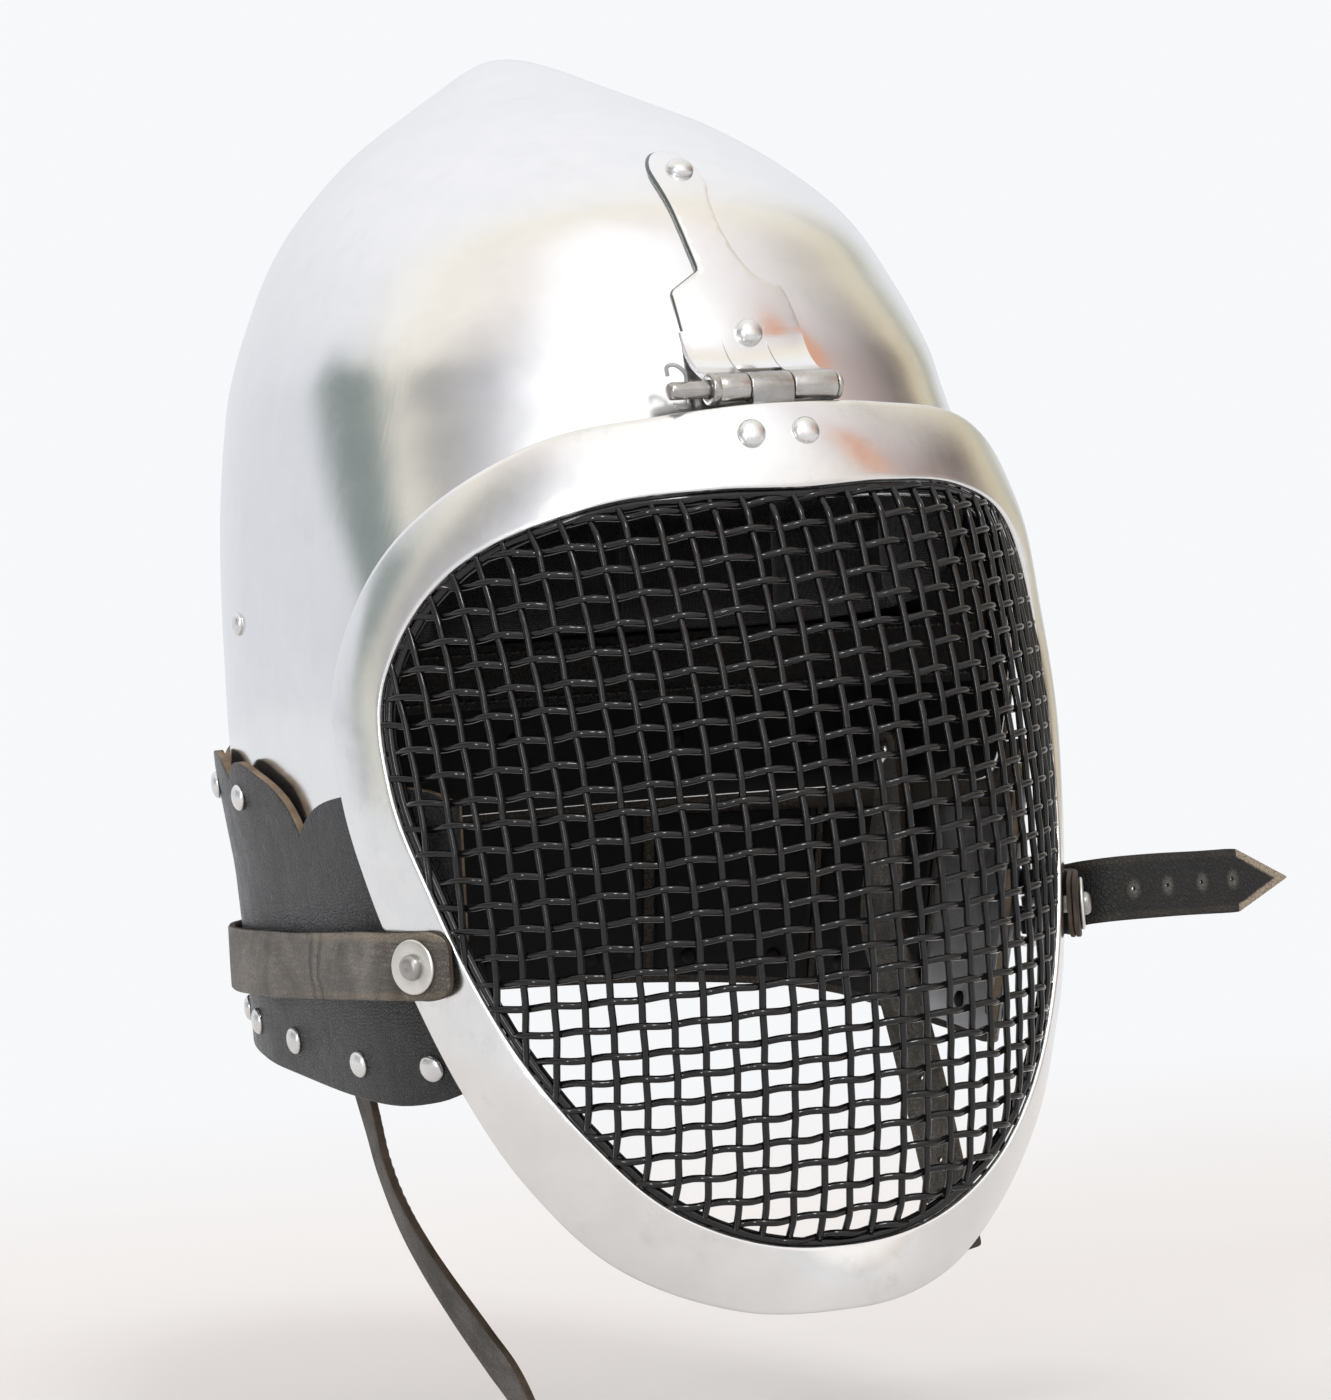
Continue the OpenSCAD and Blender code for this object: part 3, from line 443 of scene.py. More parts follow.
def leather(name, dark, mid, light, r0, r1, grain=0.00022, wear=0.35, uv=False, streak=6.0, cell=950, crease=None, shade=None):
    M = Mat(name).set(Specular_IOR_Level=0.42)
    at = M.coord(uv=uv)
    lines = M.noise(120, 4.0, 0.65, at=M.coord((1.0, streak, 1.0), uv=uv), dist=0.6)
    blotch = M.noise(42, 5.0, 0.6, at=at, dist=0.8)
    pores = M.node("TexVoronoi", {"Vector": at, "Scale": cell, "Randomness": 1.0}, feature="DISTANCE_TO_EDGE").outputs[0]
    pores = M.ramp(pores, (0.0, 0.0), (0.16, 1.0))
    fuzz = M.noise(2600, 3.0, 0.6, at=at)
    worn = M.ramp(M.math("MULTIPLY", lines, blotch), (0.22, 0.0), (0.40, 1.0))
    col = M.mix(M.ramp(blotch, (0.3, 0.0), (0.7, 1.0)), dark, mid)
    col = M.mix(M.math("MULTIPLY", worn, wear), col, light)
    col = M.mix(M.math("MULTIPLY", M.math("SUBTRACT", 1.0, pores), 0.45), col, tuple(c * 0.45 for c in dark))
    rough = M.range(lines, 0.3, 0.7, r0, r1)
    rows = [(blotch, 0.0006), (pores, grain), (fuzz, grain * 0.25), (lines, 0.00025)]
    if crease is not None:
        x = M.node("SeparateXYZ", {0: M.tc.outputs["UV"]})
        wob = M.math("MULTIPLY_ADD", M.noise(90, 2.0, at=at), 0.012, x.outputs[0])
        # painted shade: each crease line is darkened, over a shallow groove in the bump
        for c in crease:
            d = M.math("ABSOLUTE", M.math("SUBTRACT", wob, c + 0.006))
            line = M.node("MapRange", {"Value": d, "From Min": 0.0003, "From Max": 0.0024, "To Min": 1.0, "To Max": 0.0}, interpolation_type="SMOOTHSTEP").outputs[0]
            col = M.mix(M.math("MULTIPLY", line, 0.6), col, tuple(q * 0.3 for q in dark))
            rows.append((line, -0.0005))
    if shade is not None:
        # darker towards the point, a worn line inside the edges and a pale cut border on the point
        total, point, half, spots = shade
        x = M.node("SeparateXYZ", {0: M.tc.outputs["UV"]})
        along, across = x.outputs[0], M.math("ABSOLUTE", x.outputs[1])
        deep = M.node("MapRange", {"Value": along, "From Min": 0.10, "From Max": total * 0.8}, interpolation_type="SMOOTHSTEP").outputs[0]
        col = M.mix(deep, col, M.mix(0.72, col, (0.006, 0.006, 0.006)))
        w = M.math("SUBTRACT", half, across)
        w = M.math("MULTIPLY_ADD", M.noise(260, 3.0, at=at), 0.0016, w)
        line = M.ramp(M.range(w, 0.0, 0.006, 0.0, 1.0), (0.16, 0.0), (0.26, 1.0), (0.42, 1.0), (0.62, 0.0))
        near = M.node("MapRange", {"Value": along, "From Min": 0.03, "From Max": 0.11, "To Min": 1.0, "To Max": 0.12}, interpolation_type="SMOOTHSTEP").outputs[0]
        col = M.mix(M.math("MULTIPLY", M.math("MULTIPLY", line, near), M.range(blotch, 0.3, 0.7, 0.15, 0.8)), col, (0.24, 0.19, 0.13))
        k = half / (total - point)
        e = M.math("SUBTRACT", M.math("MULTIPLY", M.math("SUBTRACT", total, along), k), across)
        e = M.math("MULTIPLY_ADD", M.noise(300, 3.0, at=at), -0.0008, M.math("MULTIPLY", e, 1 / math.sqrt(1 + k * k)))
        cut = M.range(e, 0.0015, 0.0022, 1.0, 0.0)
        col = M.mix(M.math("MULTIPLY", cut, M.math("GREATER_THAN", along, point - 0.0004)), col, (0.27, 0.22, 0.165))
        # painted light round the holes, for the bright backdrop seen through them
        for a, b in spots:
            u = M.math("POWER", M.math("SUBTRACT", x.outputs[0], a), 2.0)
            v = M.math("POWER", M.math("MULTIPLY", M.math("SUBTRACT", x.outputs[1], b), 0.7), 2.0)
            d = M.math("SQRT", M.math("ADD", u, v))
            spot = M.node("MapRange", {"Value": d, "From Min": 0.0007, "From Max": 0.0026, "To Min": 0.65, "To Max": 0.0}, interpolation_type="SMOOTHSTEP").outputs[0]
            col = M.mix(spot, col, (0.11, 0.105, 0.095))
    return M.link(Base_Color=col, Roughness=rough).bumps(*rows).m


def cut_edge(name, a, b):
    M = Mat(name).set(Roughness=0.85, Specular_IOR_Level=0.25)
    f = M.noise(700, 4.0, 0.7, at=M.coord((1, 1, 3.5)))
    g = M.noise(90, 4.0, 0.6)
    col = M.mix(M.ramp(g, (0.35, 0.0), (0.65, 1.0)), a, b)
    col = M.mix(M.ramp(f, (0.5, 0.0), (0.8, 0.6)), col, tuple(c * 0.4 for c in a))
    return M.link(Base_Color=col).bumps((f, 0.0003)).m


def black_paint_and_shade(name, r0=0.09, r1=0.15, spec=0.46):
    M = Mat(name).set(Specular_IOR_Level=spec)
    a, b = M.noise(300, 4.0, 0.6), M.noise(1900, 3.0, 0.65)
    col = M.mix(M.ramp(a, (0.4, 0.0), (0.75, 1.0)), (0.0018, 0.0018, 0.0022), (0.0042, 0.0042, 0.005))
    chips = M.ramp(M.math("MULTIPLY", M.noise(520, 5.0, 0.7), M.noise(150, 3.0)), (0.40, 0.0), (0.44, 1.0))
    col = M.mix(M.math("MULTIPLY", chips, 0.5), col, (0.04, 0.04, 0.044))
    return M.link(Base_Color=col, Roughness=M.range(a, 0.3, 0.7, r0, r1)).bumps((a, 0.000012), (b, 0.000003)).m


def cloth(name, col_a, col_b, pitch=0.0011):
    M = Mat(name).set(Roughness=0.95, Sheen_Weight=0.25, Sheen_Roughness=0.5, Specular_IOR_Level=0.2)
    k = 1 / pitch / 2
    w1 = M.node("TexWave", {"Vector": M.coord((1, 1, 0)), "Scale": k, "Distortion": 1.2, "Detail Scale": 2.0}, bands_direction="X").outputs[1]
    w2 = M.node("TexWave", {"Vector": M.coord(), "Scale": k, "Distortion": 1.0, "Detail Scale": 2.0}, bands_direction="Z").outputs[1]
    weave = M.math("MULTIPLY", w1, w2)
    n = M.noise(60, 5.0, 0.7)
    col = M.mix(M.ramp(n, (0.3, 0.0), (0.7, 1.0)), col_a, col_b)
    col = M.mix(M.math("MULTIPLY", weave, 0.35), col, tuple(c * 2.2 for c in col_b))
    return M.link(Base_Color=col).bumps((weave, 0.0002), (n, 0.0006)).m


m_skull = steel("steel_skull", (0.745, 0.75, 0.757), (0.785, 0.785, 0.79), 0.12, 0.17, hammer=0.00004, scratch=0.000005, grime=0.06)
m_frame = steel("steel_frame", (0.73, 0.73, 0.732), (0.80, 0.80, 0.80), 0.16, 0.24, hammer=0.00005, scratch=0.000006, grime=0.22)
m_plate = steel("steel_plate", (0.75, 0.745, 0.74), (0.80, 0.795, 0.79), 0.13, 0.20, hammer=0.00003, scratch=0.000006, grime=0.12)
# painted shade: the hinge plate's cut edges are dark, for the shadowed gap along them
m_plate_edge_shade = steel("steel_plate_edge_shade", (0.10, 0.12, 0.11), (0.16, 0.18, 0.17), 0.35, 0.45, hammer=0.00002, scratch=0.000006, grime=0.3)
m_hinge = steel("steel_hinge", (0.28, 0.27, 0.26), (0.52, 0.505, 0.485), 0.17, 0.27, hammer=0.00004, brush=(4, 60, 60), scratch=0.00002, grime=0.75)
m_rivet = steel("steel_rivet", (0.62, 0.625, 0.63), (0.78, 0.78, 0.775), 0.20, 0.30, hammer=0.00004, scratch=0.000008, grime=0.35)
m_washer = steel("steel_washer", (0.60, 0.58, 0.54), (0.76, 0.75, 0.72), 0.26, 0.36, hammer=0.00004, scratch=0.00002, grime=0.5)
m_dull = steel("steel_dull", (0.30, 0.30, 0.31), (0.46, 0.46, 0.47), 0.36, 0.50, hammer=0.00012, scratch=0.00002, grime=0.7)
m_buckle = steel("steel_buckle", (0.50, 0.50, 0.49), (0.72, 0.72, 0.70), 0.18, 0.28, hammer=0.00003, scratch=0.00001, grime=0.5)
m_wire = black_paint_and_shade("black_wire")
# painted shade: the helmet's inner surfaces get a near-black gloss for the shade inside it
m_inner_shade = black_paint_and_shade("steel_inner_shade", 0.5, 0.7, 0.17)
m_skirt = leather("leather_black", (0.014, 0.0145, 0.0165), (0.022, 0.0225, 0.0255), (0.050, 0.051, 0.055), 0.28, 0.40, wear=0.25, streak=1.6)
m_skirt_in = leather("leather_flesh", (0.030, 0.024, 0.019), (0.050, 0.042, 0.034), (0.09, 0.075, 0.06), 0.75, 0.9, wear=0.4, cell=600)
m_chin = leather("leather_chin", (0.050, 0.046, 0.041), (0.10, 0.093, 0.084), (0.20, 0.185, 0.17), 0.6, 0.8, wear=0.6, uv=True, streak=5.0)
m_band = leather("leather_liner", (0.006, 0.005, 0.0045), (0.010, 0.0085, 0.0075), (0.02, 0.017, 0.015), 0.6, 0.75, wear=0.4)
m_tan = cut_edge("edge_tan", (0.26, 0.19, 0.125), (0.13, 0.095, 0.065))
m_edge = cut_edge("edge_dark", (0.085, 0.062, 0.045), (0.040, 0.030, 0.023))
m_cloth = cloth("cloth_black", (0.010, 0.010, 0.0115), (0.018, 0.018, 0.020))
m_thread = cloth("thread", (0.020, 0.019, 0.018), (0.035, 0.033, 0.030), pitch=0.0006)
m_thread2 = cloth("thread_grey", (0.050, 0.046, 0.040), (0.085, 0.078, 0.070), pitch=0.0006)
m_dull2 = steel("steel_old", (0.28, 0.27, 0.26), (0.42, 0.41, 0.40), 0.28, 0.42, hammer=0.00004, scratch=0.00002, grime=0.6)
m_strap2 = leather("leather_tab", (0.014, 0.012, 0.011), (0.028, 0.024, 0.021), (0.07, 0.058, 0.048), 0.45, 0.6, wear=0.4, uv=True, streak=5.0)

# ---------------------------------------------------------------- skull
EDGE = [[0, 121], [28, 120], [36, 117.5], [42, 112.5], [45.5, 108], [48.3, 103], [50.5, 97], [52.2, 89], [53.6, 74], [55, 56], [57, 43], [60, 37], [70, 36], [180, 32]]


def edge_z(a):
    return sm(fold(a), EDGE)[..., 0]


def skull():
    half = np.concatenate([np.arange(0, 30, 2.0), np.arange(30, 64, 1.0), np.arange(64, 180, 2.5)])
    A = np.concatenate([half, [180], 360 - half[:0:-1]])
    b = edge_z(A)
    s = np.concatenate([np.linspace(0, 0.9, 64), 0.9 + 0.098 * (1 - (1 - np.linspace(0, 1, 26)[1:]) ** 1.3)])
    lip = [off(A, b + 0.08, np.full(len(A), -1.55)), off(A, b, np.full(len(A), -1.0)), off(A, b + 0.08, np.full(len(A), -0.45))]
    Z = b[None] + (263 - b)[None] * s[:, None]
    Z[0] += 0.55
    outer = [off(A, z, np.zeros(len(A))) for z in Z]
    inner = [off(A, z, np.full(len(A), -2.0)) for z in Z[::2][::-1]]
    apex_o, apex_i = np.array([[0, 37.9, 263.05]]), np.array([[0, 37.9, 261.0]])
    k = len(A)
    V = np.concatenate(lip + outer + [apex_o])
    F = grid_faces(3 + len(outer), k, loop_c=True)
    top = (3 + len(outer)) * k
    F += [(top - k + j, top - k + (j + 1) % k, top) for j in range(k)]
    B = Build()
    B.add(V, F)
    W = np.concatenate([apex_i] + inner)
    G = [(0, 1 + j, 1 + (j + 1) % k) for j in range(k)] + grid_faces(len(inner), k, base=1, loop_c=True)
    # the shell's inside takes the near-black painted shade
    B.add(W, G, 1)
    n0 = len(V) + 1 + (len(inner) - 1) * k
    B.F += [(n0 + j, n0 + (j + 1) % k, (j + 1) % k, j) for j in range(k)]
    B.M += [0] * k
    return B.make("skull", "helmet", ["skull_shell"], [m_skull, m_inner_shade], slot="polished_steel")


skull()

# ---------------------------------------------------------------- hinge on the brow
HY, HZ, PT = 123.6, 151.8, 1.5
PLATE = [[-9.3, 200.6], [-8.6, 214], [-7.2, 219], [-3.5, 222.5], [1, 223.4], [4.8, 221.6], [6.6, 217.5],
         [6.2, 212.5], [4, 208.5], [2.9, 204], [2.7, 199], [3.9, 193], [6, 188], [8.8, 184.3], [12.4, 182.5],
         [15.6, 181.6], [17.3, 179], [18.6, 171], [19.2, 160.0], [-18, 160.0], [-18.6, 170], [-18.7, 180.3], [-8.6, 186.4]]


def on_front(P, d):
    x, z = P[:, 0], P[:, 1]
    y = front_y(x, z)
    e, g = (front_y(x, z + 1) - front_y(x, z - 1)) / 2, (front_y(x + 1, z) - front_y(x - 1, z)) / 2
    turn = np.clip(np.asarray(d, float) / PT, 0, 1) * (0.03 * x + 0.0022 * x * x)
    return np.stack([x, y - (0.12 + d) * np.sqrt(1 + e * e + g * g) + turn, z], -1)


def hinge_plate():
    B = Build()
    # soften the drawn outline, keeping its upper and lower corners
    pts = path(PLATE[:18], 4)
    outline = [tuple(p) for p in pts] + [(19.2, 160.0), (-18, 160.0), (-18.6, 170), (-18.4, 179.9), (-17.6, 181.0), (-9.0, 186.2), (-8.7, 187.2), (-9.15, 194)]
    # its cut edges take the dark painted-shade steel
    cut_sheet(B, outline, [], on_front, PT, step=1.7, fine=0.8, bevel=0.25, edge_m=1)
    for x0, ln, far in ((-19.6, 11.4, 1.0), (5.5, 13.5, 1.0), (-8.3, 13.9, 0.72)):
        # the sheet leaves the foot, bends forward and rolls round the pin; between the knuckles it stops short
        rings = []
        for x in np.linspace(x0 + 0.15, x0 + ln - 0.15, 9):
            xp = min(max(x, -18.3), 18.2)
            y0, y1 = (float(on_front(np.array([[xp, z]]), PT)[0, 1]) - 0.03 for z in (169.0, 160.6))
            c0, c1, c2, c3 = (np.array(q) for q in ([y0, 169.0], [y1, 160.6], [-119.2, 156.6], [-HY, HZ + 4.5]))
            u = np.linspace(0, far, 18)[:, None]
            outer = (1 - u)**3 * c0 + 3 * u * (1 - u)**2 * c1 + 3 * u * u * (1 - u) * c2 + u**3 * c3
            T = unit(np.gradient(outer, axis=0))
            inner = outer + np.stack([-T[:, 1], T[:, 0]], -1) * 1.9 * (1 if T[9, 0] < 0 else -1)
            if inner[9, 1] > outer[9, 1]:
                inner = 2 * outer - inner
            slim = np.concatenate([u, u[::-1]])[:, 0] ** 1.5 * 2.4 * max(x - 9, 0) / 10
            rings.append(np.stack([x - slim, *np.concatenate([outer, inner[::-1]]).T], -1))
        n, m = 36, len(rings)
        F = grid_faces(m, n, loop_c=True, flip=True)
        F += [tuple(range(n)), tuple((m - 1) * n + j for j in range(n))[::-1]]
        B.add(np.concatenate(rings), F)
    return B.make("hinge_plate_v", "helmet", ["hinge_plate"], [m_plate, m_plate_edge_shade], slot="polished_steel", sharp=50)


plate = hinge_plate()


def knuckle(B, x0, ln, ring=None, m=0):
    """A rolled knuckle along X with eased ends, a bore and the seam of the rolled sheet."""
    prof = [(2.56, 0.25), (2.8, 0.0), (4.05, 0.0), (4.38, 0.14), (4.5, 0.5)]
    if ring:
        prof += [(4.5, ring - 0.25), (4.3, ring - 0.05), (4.3, ring + 0.15), (4.5, ring + 0.35)]
    prof += [(4.5, ln * 0.5), (4.5, ln - 0.5), (4.38, ln - 0.14), (4.05, ln), (2.8, ln), (2.56, ln - 0.25), (2.56, 0.25)]
    lathe(B, prof, (x0, -HY, HZ), (1, 0, 0), 56, m)


B = Build()
knuckle(B, -19.6, 11.4, ring=2.4)
knuckle(B, 5.5, 13.5)
for x0, ln in ((-19.6, 11.4), (5.5, 13.5)):
    # the sheet's end, closed down on the roll behind
    tube(B, [(x0 + 0.4 + (ln - 0.8) * i / 8, -HY + 3.35, HZ + 3.05) for i in range(9)], 0.75, 8)
knuckles = B.make("hinge_knuckles", "helmet", [], [m_hinge], slot="hinge_steel", sharp=55)

B = Build()
lathe(B, [(0.3, -31.7), (1.7, -31.7), (2.1, -31.55), (2.5, -30.9), (2.5, -29.5), (2.47, -20), (2.5, -19), (2.5, 0), (2.5, 19.3), (3.6, 19.3), (4.0, 19.42), (4.1, 19.7), (4.1, 20.3), (3.9, 20.7), (2.9, 21.3), (1.6, 21.35), (0.3, 21.3)], (0, -HY, HZ), (1, 0, 0), 48)
B.make("hinge_pin_v", "helmet", ["hinge_pin"], [m_hinge], slot="hinge_steel", sharp=55)

B = Build()
clip = [[-31, -1.8, -3.9], [-28.6, -1.4, -4.4], [-26.6, -0.6, -4.2], [-26, 0, -3], [-26, 0, 0], [-26, 0, 3], [-26.6, -0.8, 4.6],
        [-28.2, -1.2, 6.2], [-30.2, -0.8, 7.2], [-31.6, 0.2, 6.6], [-31.3, 0.6, 4.2]]
tube(B, path(clip, 8) + np.array([0, -HY, HZ]), 0.58, 10, ref=[0.3, 1, 0.2])
B.make("pin_clip_v", "helmet", ["pin_clip"], [m_dull], slot="hinge_steel")

B = Build()
for x, z in ((0.9, 215.7), (0.6, 167.2)):
    a = math.degrees(math.atan2(x, 110))
    lathe(B, dome(4.0, 2.9), off(a, z, PT + 0.16), skin_n(a, z), 40, turn=z, wob=0.012)
B.make("plate_rivets_v", "helmet", ["plate_rivets"], [m_rivet], slot="rivet_steel")

B = Build()
for a in (97, 263):
    lathe(B, dome(3.4, 1.8), off(a, 97, 0.0), skin_n(a, 97), 36, turn=a, wob=0.015)
    # the burr inside, near black as painted shade
    lathe(B, [(0.4, -2.1), (2.9, -2.1), (2.9, -2.9), (2.2, -3.5), (0.4, -3.7)][::-1], off(a, 97, 0.0), skin_n(a, 97), 28, m=1)
B.make("side_rivets_v", "helmet", ["side_rivets"], [m_rivet, m_inner_shade], slot="rivet_steel")

# ---------------------------------------------------------------- leather neck skirt
CUSPS = [[41.5, 43, 8], [74, 36, 9.5], [99.5, 52.5, 7], [126, 54, 7.5], [153, 56, 8], [180, 57, 8]]
HEM = [[41.5, -36], [45.4, -38.9], [52.6, -40.4], [64, -38.4], [83, -34.3], [95, -31.8], [104, -29.6], [118, -27.2], [135, -25.6], [157, -24.5], [180, -24]]
cus = np.array(CUSPS, float)


def skirt_top(a):
    f = fold(a)
    i = np.clip(np.searchsorted(cus[:, 0], f, side="right") - 1, 0, len(cus) - 2)
    q = np.clip((f - cus[i, 0]) / (cus[i + 1, 0] - cus[i, 0]), 0, 1)
    return cus[i, 1] * (1 - q) + cus[i + 1, 1] * q + cus[i, 2] * (1 - np.abs(2 * q - 1) ** 4)


def skirt_bot(a):
    return sm(fold(a), HEM)[..., 0]


def flare(a, z):
    return 2.3 * np.clip((fold(a) - 66) / 14, 0, 1) * np.clip((z - 26) / 30, 0, 1)


half = np.concatenate([cus[i, 0] + (cus[i + 1, 0] - cus[i, 0]) * (1 - np.cos(np.pi * np.arange(26) / 26)) / 2 for i in range(len(cus) - 1)])
skirt_a = np.concatenate([half, [180], 360 - half[::-1]])


def wall(B, A, lo, hi, d0, d1, rows, ease, k=0.0, m_out=0, m_in=0, m_edge=0, wave=None):
    """A bent sheet between two offsets of the skull's form, with eased edges."""
    A, lo, hi = (np.asarray(v, float) for v in (A, lo, hi))
    n = len(A)
    s = np.concatenate([[0, ease * 0.35, ease], np.linspace(0, 1, rows)[1:-1] * 1.0, [-ease, -ease * 0.35, 0]])
    Z = []
    for i, v in enumerate(s):
        Z.append(lo + v if i < 3 else (hi + v if i >= len(s) - 3 else lo + (hi - lo) * v))
    dip = np.array([0.55, 0.15, 0] + [0] * (rows - 2) + [0, 0.15, 0.55]) * ease * 0.8
    end = np.zeros(n)
    end[0] = end[-1] = 0.5 * ease
    out, inn = [], []
    for z, dp in zip(Z, dip):
        w = 0 if wave is None else wave(A, z)
        out.append(off(A, z, d1 - np.maximum(dp, end) + k * flare(A, z) + w))
        inn.append(off(A, z, d0 + np.maximum(dp, end) * 0.6 + k * flare(A, z) + w))
    R = len(Z)
    V = np.concatenate(out + inn)
    F = grid_faces(R, n)
    M = [m_out] * len(F)
    G = grid_faces(R, n, base=R * n, flip=True)
    F += G
    M += [m_in] * len(G)
    o = R * n
    E = [(j, o + j, o + j + 1, j + 1) for j in range(n - 1)] + [((R - 1) * n + j + 1, o + (R - 1) * n + j + 1, o + (R - 1) * n + j, (R - 1) * n + j) for j in range(n - 1)]
    E += [(i * n, (i + 1) * n, o + (i + 1) * n, o + i * n) for i in range(R - 1)] + [(i * n + n - 1, o + i * n + n - 1, o + (i + 1) * n + n - 1, (i + 1) * n + n - 1) for i in range(R - 1)]
    F += E
    M += [m_edge] * len(E)
    B.add(V, F, M)


B = Build()
wall(B, skirt_a, skirt_bot(skirt_a), skirt_top(skirt_a), 0.1, 2.7, 20, 0.5, k=1.0, m_out=0, m_in=1, m_edge=2,
     wave=lambda A, z: 0.06 * np.sin(np.radians(A * 9) + z / 17.0) * np.clip((skirt_top(A) - z) / 20, 0, 1))
B.make("neck_skirt_v", "helmet", ["neck_skirt"], [m_skirt, m_skirt_in, m_tan], slot="black_leather")

B = Build()
for s0, s1 in ((44, 74), (76, 110), (112, 144), (146, 214), (216, 248), (250, 284), (286, 316)):
    A = np.linspace(s0, s1, int((s1 - s0) / 1.5) + 2)
    # painted shade: every plate but the lit one at 44 to 74 degrees is near black
    q = 0 if s0 == 44 else 1
    wall(B, A, skirt_bot(A) + 2.5, np.full(len(A), 28.5), -1.25, -0.06, 8, 0.3, m_out=q, m_in=q, m_edge=q)
B.make("skirt_plates_v", "helmet", ["skirt_plates"], [m_dull, m_inner_shade], slot="plate_steel")

TOP = [[95.2, 47.2], [113, 50.5], [140, 53], [167, 55]]
TOP += [[360 - a, z] for a, z in TOP[::-1]]
B = Build()
for i, (a, z) in enumerate(TOP):
    lathe(B, dome(4.0, 2.2), off(a, z, 2.72 + flare(a, z)), skin_n(a, z), 36, turn=a * 7.0, wob=0.018)
    # the burr inside, near black as painted shade
    lathe(B, [(0.4, 0), (2.6, 0), (2.6, -0.9), (1.9, -1.5), (0.4, -1.7)], off(a, z, -2.1), skin_n(a, z), 24, turn=a, m=1)
B.make("skirt_top_rivets_v", "helmet", ["skirt_top_rivets"], [m_rivet, m_inner_shade], slot="rivet_steel")
B = Build()
low = [46.6, 61.3, 84.6, 103.2, 120, 137.5, 155, 172]
for a in low + [360 - v for v in low[::-1]]:
    z = float(skirt_bot(a)) + 10 - 1.5 * min(max((float(fold(a)) - 104) / 30, 0), 1)
    lathe(B, dome(4.0, 2.2), off(a, z, 2.72), skin_n(a, z), 36, turn=a * 5.0, wob=0.018)
    # the burr inside, near black as painted shade
    lathe(B, [(0.4, 0), (2.6, 0), (2.6, -0.5), (1.9, -1.0), (0.4, -1.2)], off(a, z, -1.27), skin_n(a, z), 24, turn=a, m=1)
B.make("skirt_lower_rivets_v", "helmet", ["skirt_lower_rivets"], [m_rivet, m_inner_shade], slot="rivet_steel")

# ---------------------------------------------------------------- liner
PAD_LOW = [[0, 150], [40, 148], [60, 120], [80, 92], [180, 88]]


def liner():
    """Quilted pads: crowned cells between sewn channels, filling the pad's space in the CAD model."""
    A = np.arange(0, 360, 2.0)
    lo = sm(fold(A), PAD_LOW)[..., 0]
    S = np.concatenate([[0, 0.006, 0.02], np.linspace(0.045, 0.93, 40)])
    rows = []
    lanes = np.abs(np.sin(np.radians(A * 6.0)))
    for s in S:
        z = lo + (240 - lo) * s
        ring = np.abs(np.sin(np.pi * np.clip((z - lo) / 36.0, 0, 9)))
        crown = np.minimum(lanes ** 0.45, np.maximum(ring, 0.03) ** 0.40)
        crown = crown * (0.35 + 0.65 * np.clip((z - lo) / 5.0, 0, 1))
        d = -4.2 - 10.6 * crown
        p = off(A, z, d)
        rows.append(p)
    outer = [off(A, lo + (240 - lo) * s + (0.4 if s == 0 else 0), np.full(len(A), -2.9)) for s in S[::3]][::-1]
    k = len(A)
    V = np.concatenate(rows + [np.array([[0, 36.0, 226.5]])] + outer + [np.array([[0, 36.0, 239.5]])])
    n = len(rows)
    F = grid_faces(n, k, loop_c=True, flip=True)
    c = n * k
    F += [((n - 1) * k + (j + 1) % k, (n - 1) * k + j, c) for j in range(k)]
    o = c + 1
    F += grid_faces(len(outer), k, base=o, loop_c=True, flip=True)
    e = o + (len(outer) - 1) * k
    F += [(e + j, e + (j + 1) % k, (j + 1) % k, j) for j in range(k)]
    t = o + len(outer) * k
    F += [(o + j, o + (j + 1) % k, t) for j in range(k)]
    ob = make("liner_pads_v", V, F, "helmet", ["liner_pads"], [m_cloth], slot="liner_fabric")
    me = ob.data
    co = np.array([v.co for v in me.vertices]) * 1000
    sway = rough(co, 0.035, 3.1) * 0.45 + rough(co, 0.12, 9.0) * 0.18
    nrm = np.array([v.normal for v in me.vertices])
    inner_ix = np.arange(len(co)) < n * k
    co[inner_ix] += (nrm * sway[:, None])[inner_ix]
    me.vertices.foreach_set("co", (co / 1000).astype(np.float32).ravel())
    me.update()
    return ob


liner()

B = Build()
A = np.arange(60, 300.1, 2.0)
hi = np.where(fold(A) < 80, 90 + (80 - fold(A)), 86.5)
wall(B, A, np.full(len(A), 66.0), hi, -5.2, -2.8, 8, 0.4, m_out=0, m_in=0, m_edge=1)
for z in (68.5, 83.5):
    for a in np.arange(62, 298, 2.0):
        # sewn stitches along both edges, on the side towards the head
        p, q = (off(v, z, np.array(-5.3)) for v in (a, a + 1.35))
        tube(B, [p, (p + q) / 2 + (skin_n(a, z) * -0.28), q], 0.35, 6, m=2)
B.make("liner_band_v", "helmet", ["liner_band"], [m_band, m_edge, m_thread], slot="liner_leather")

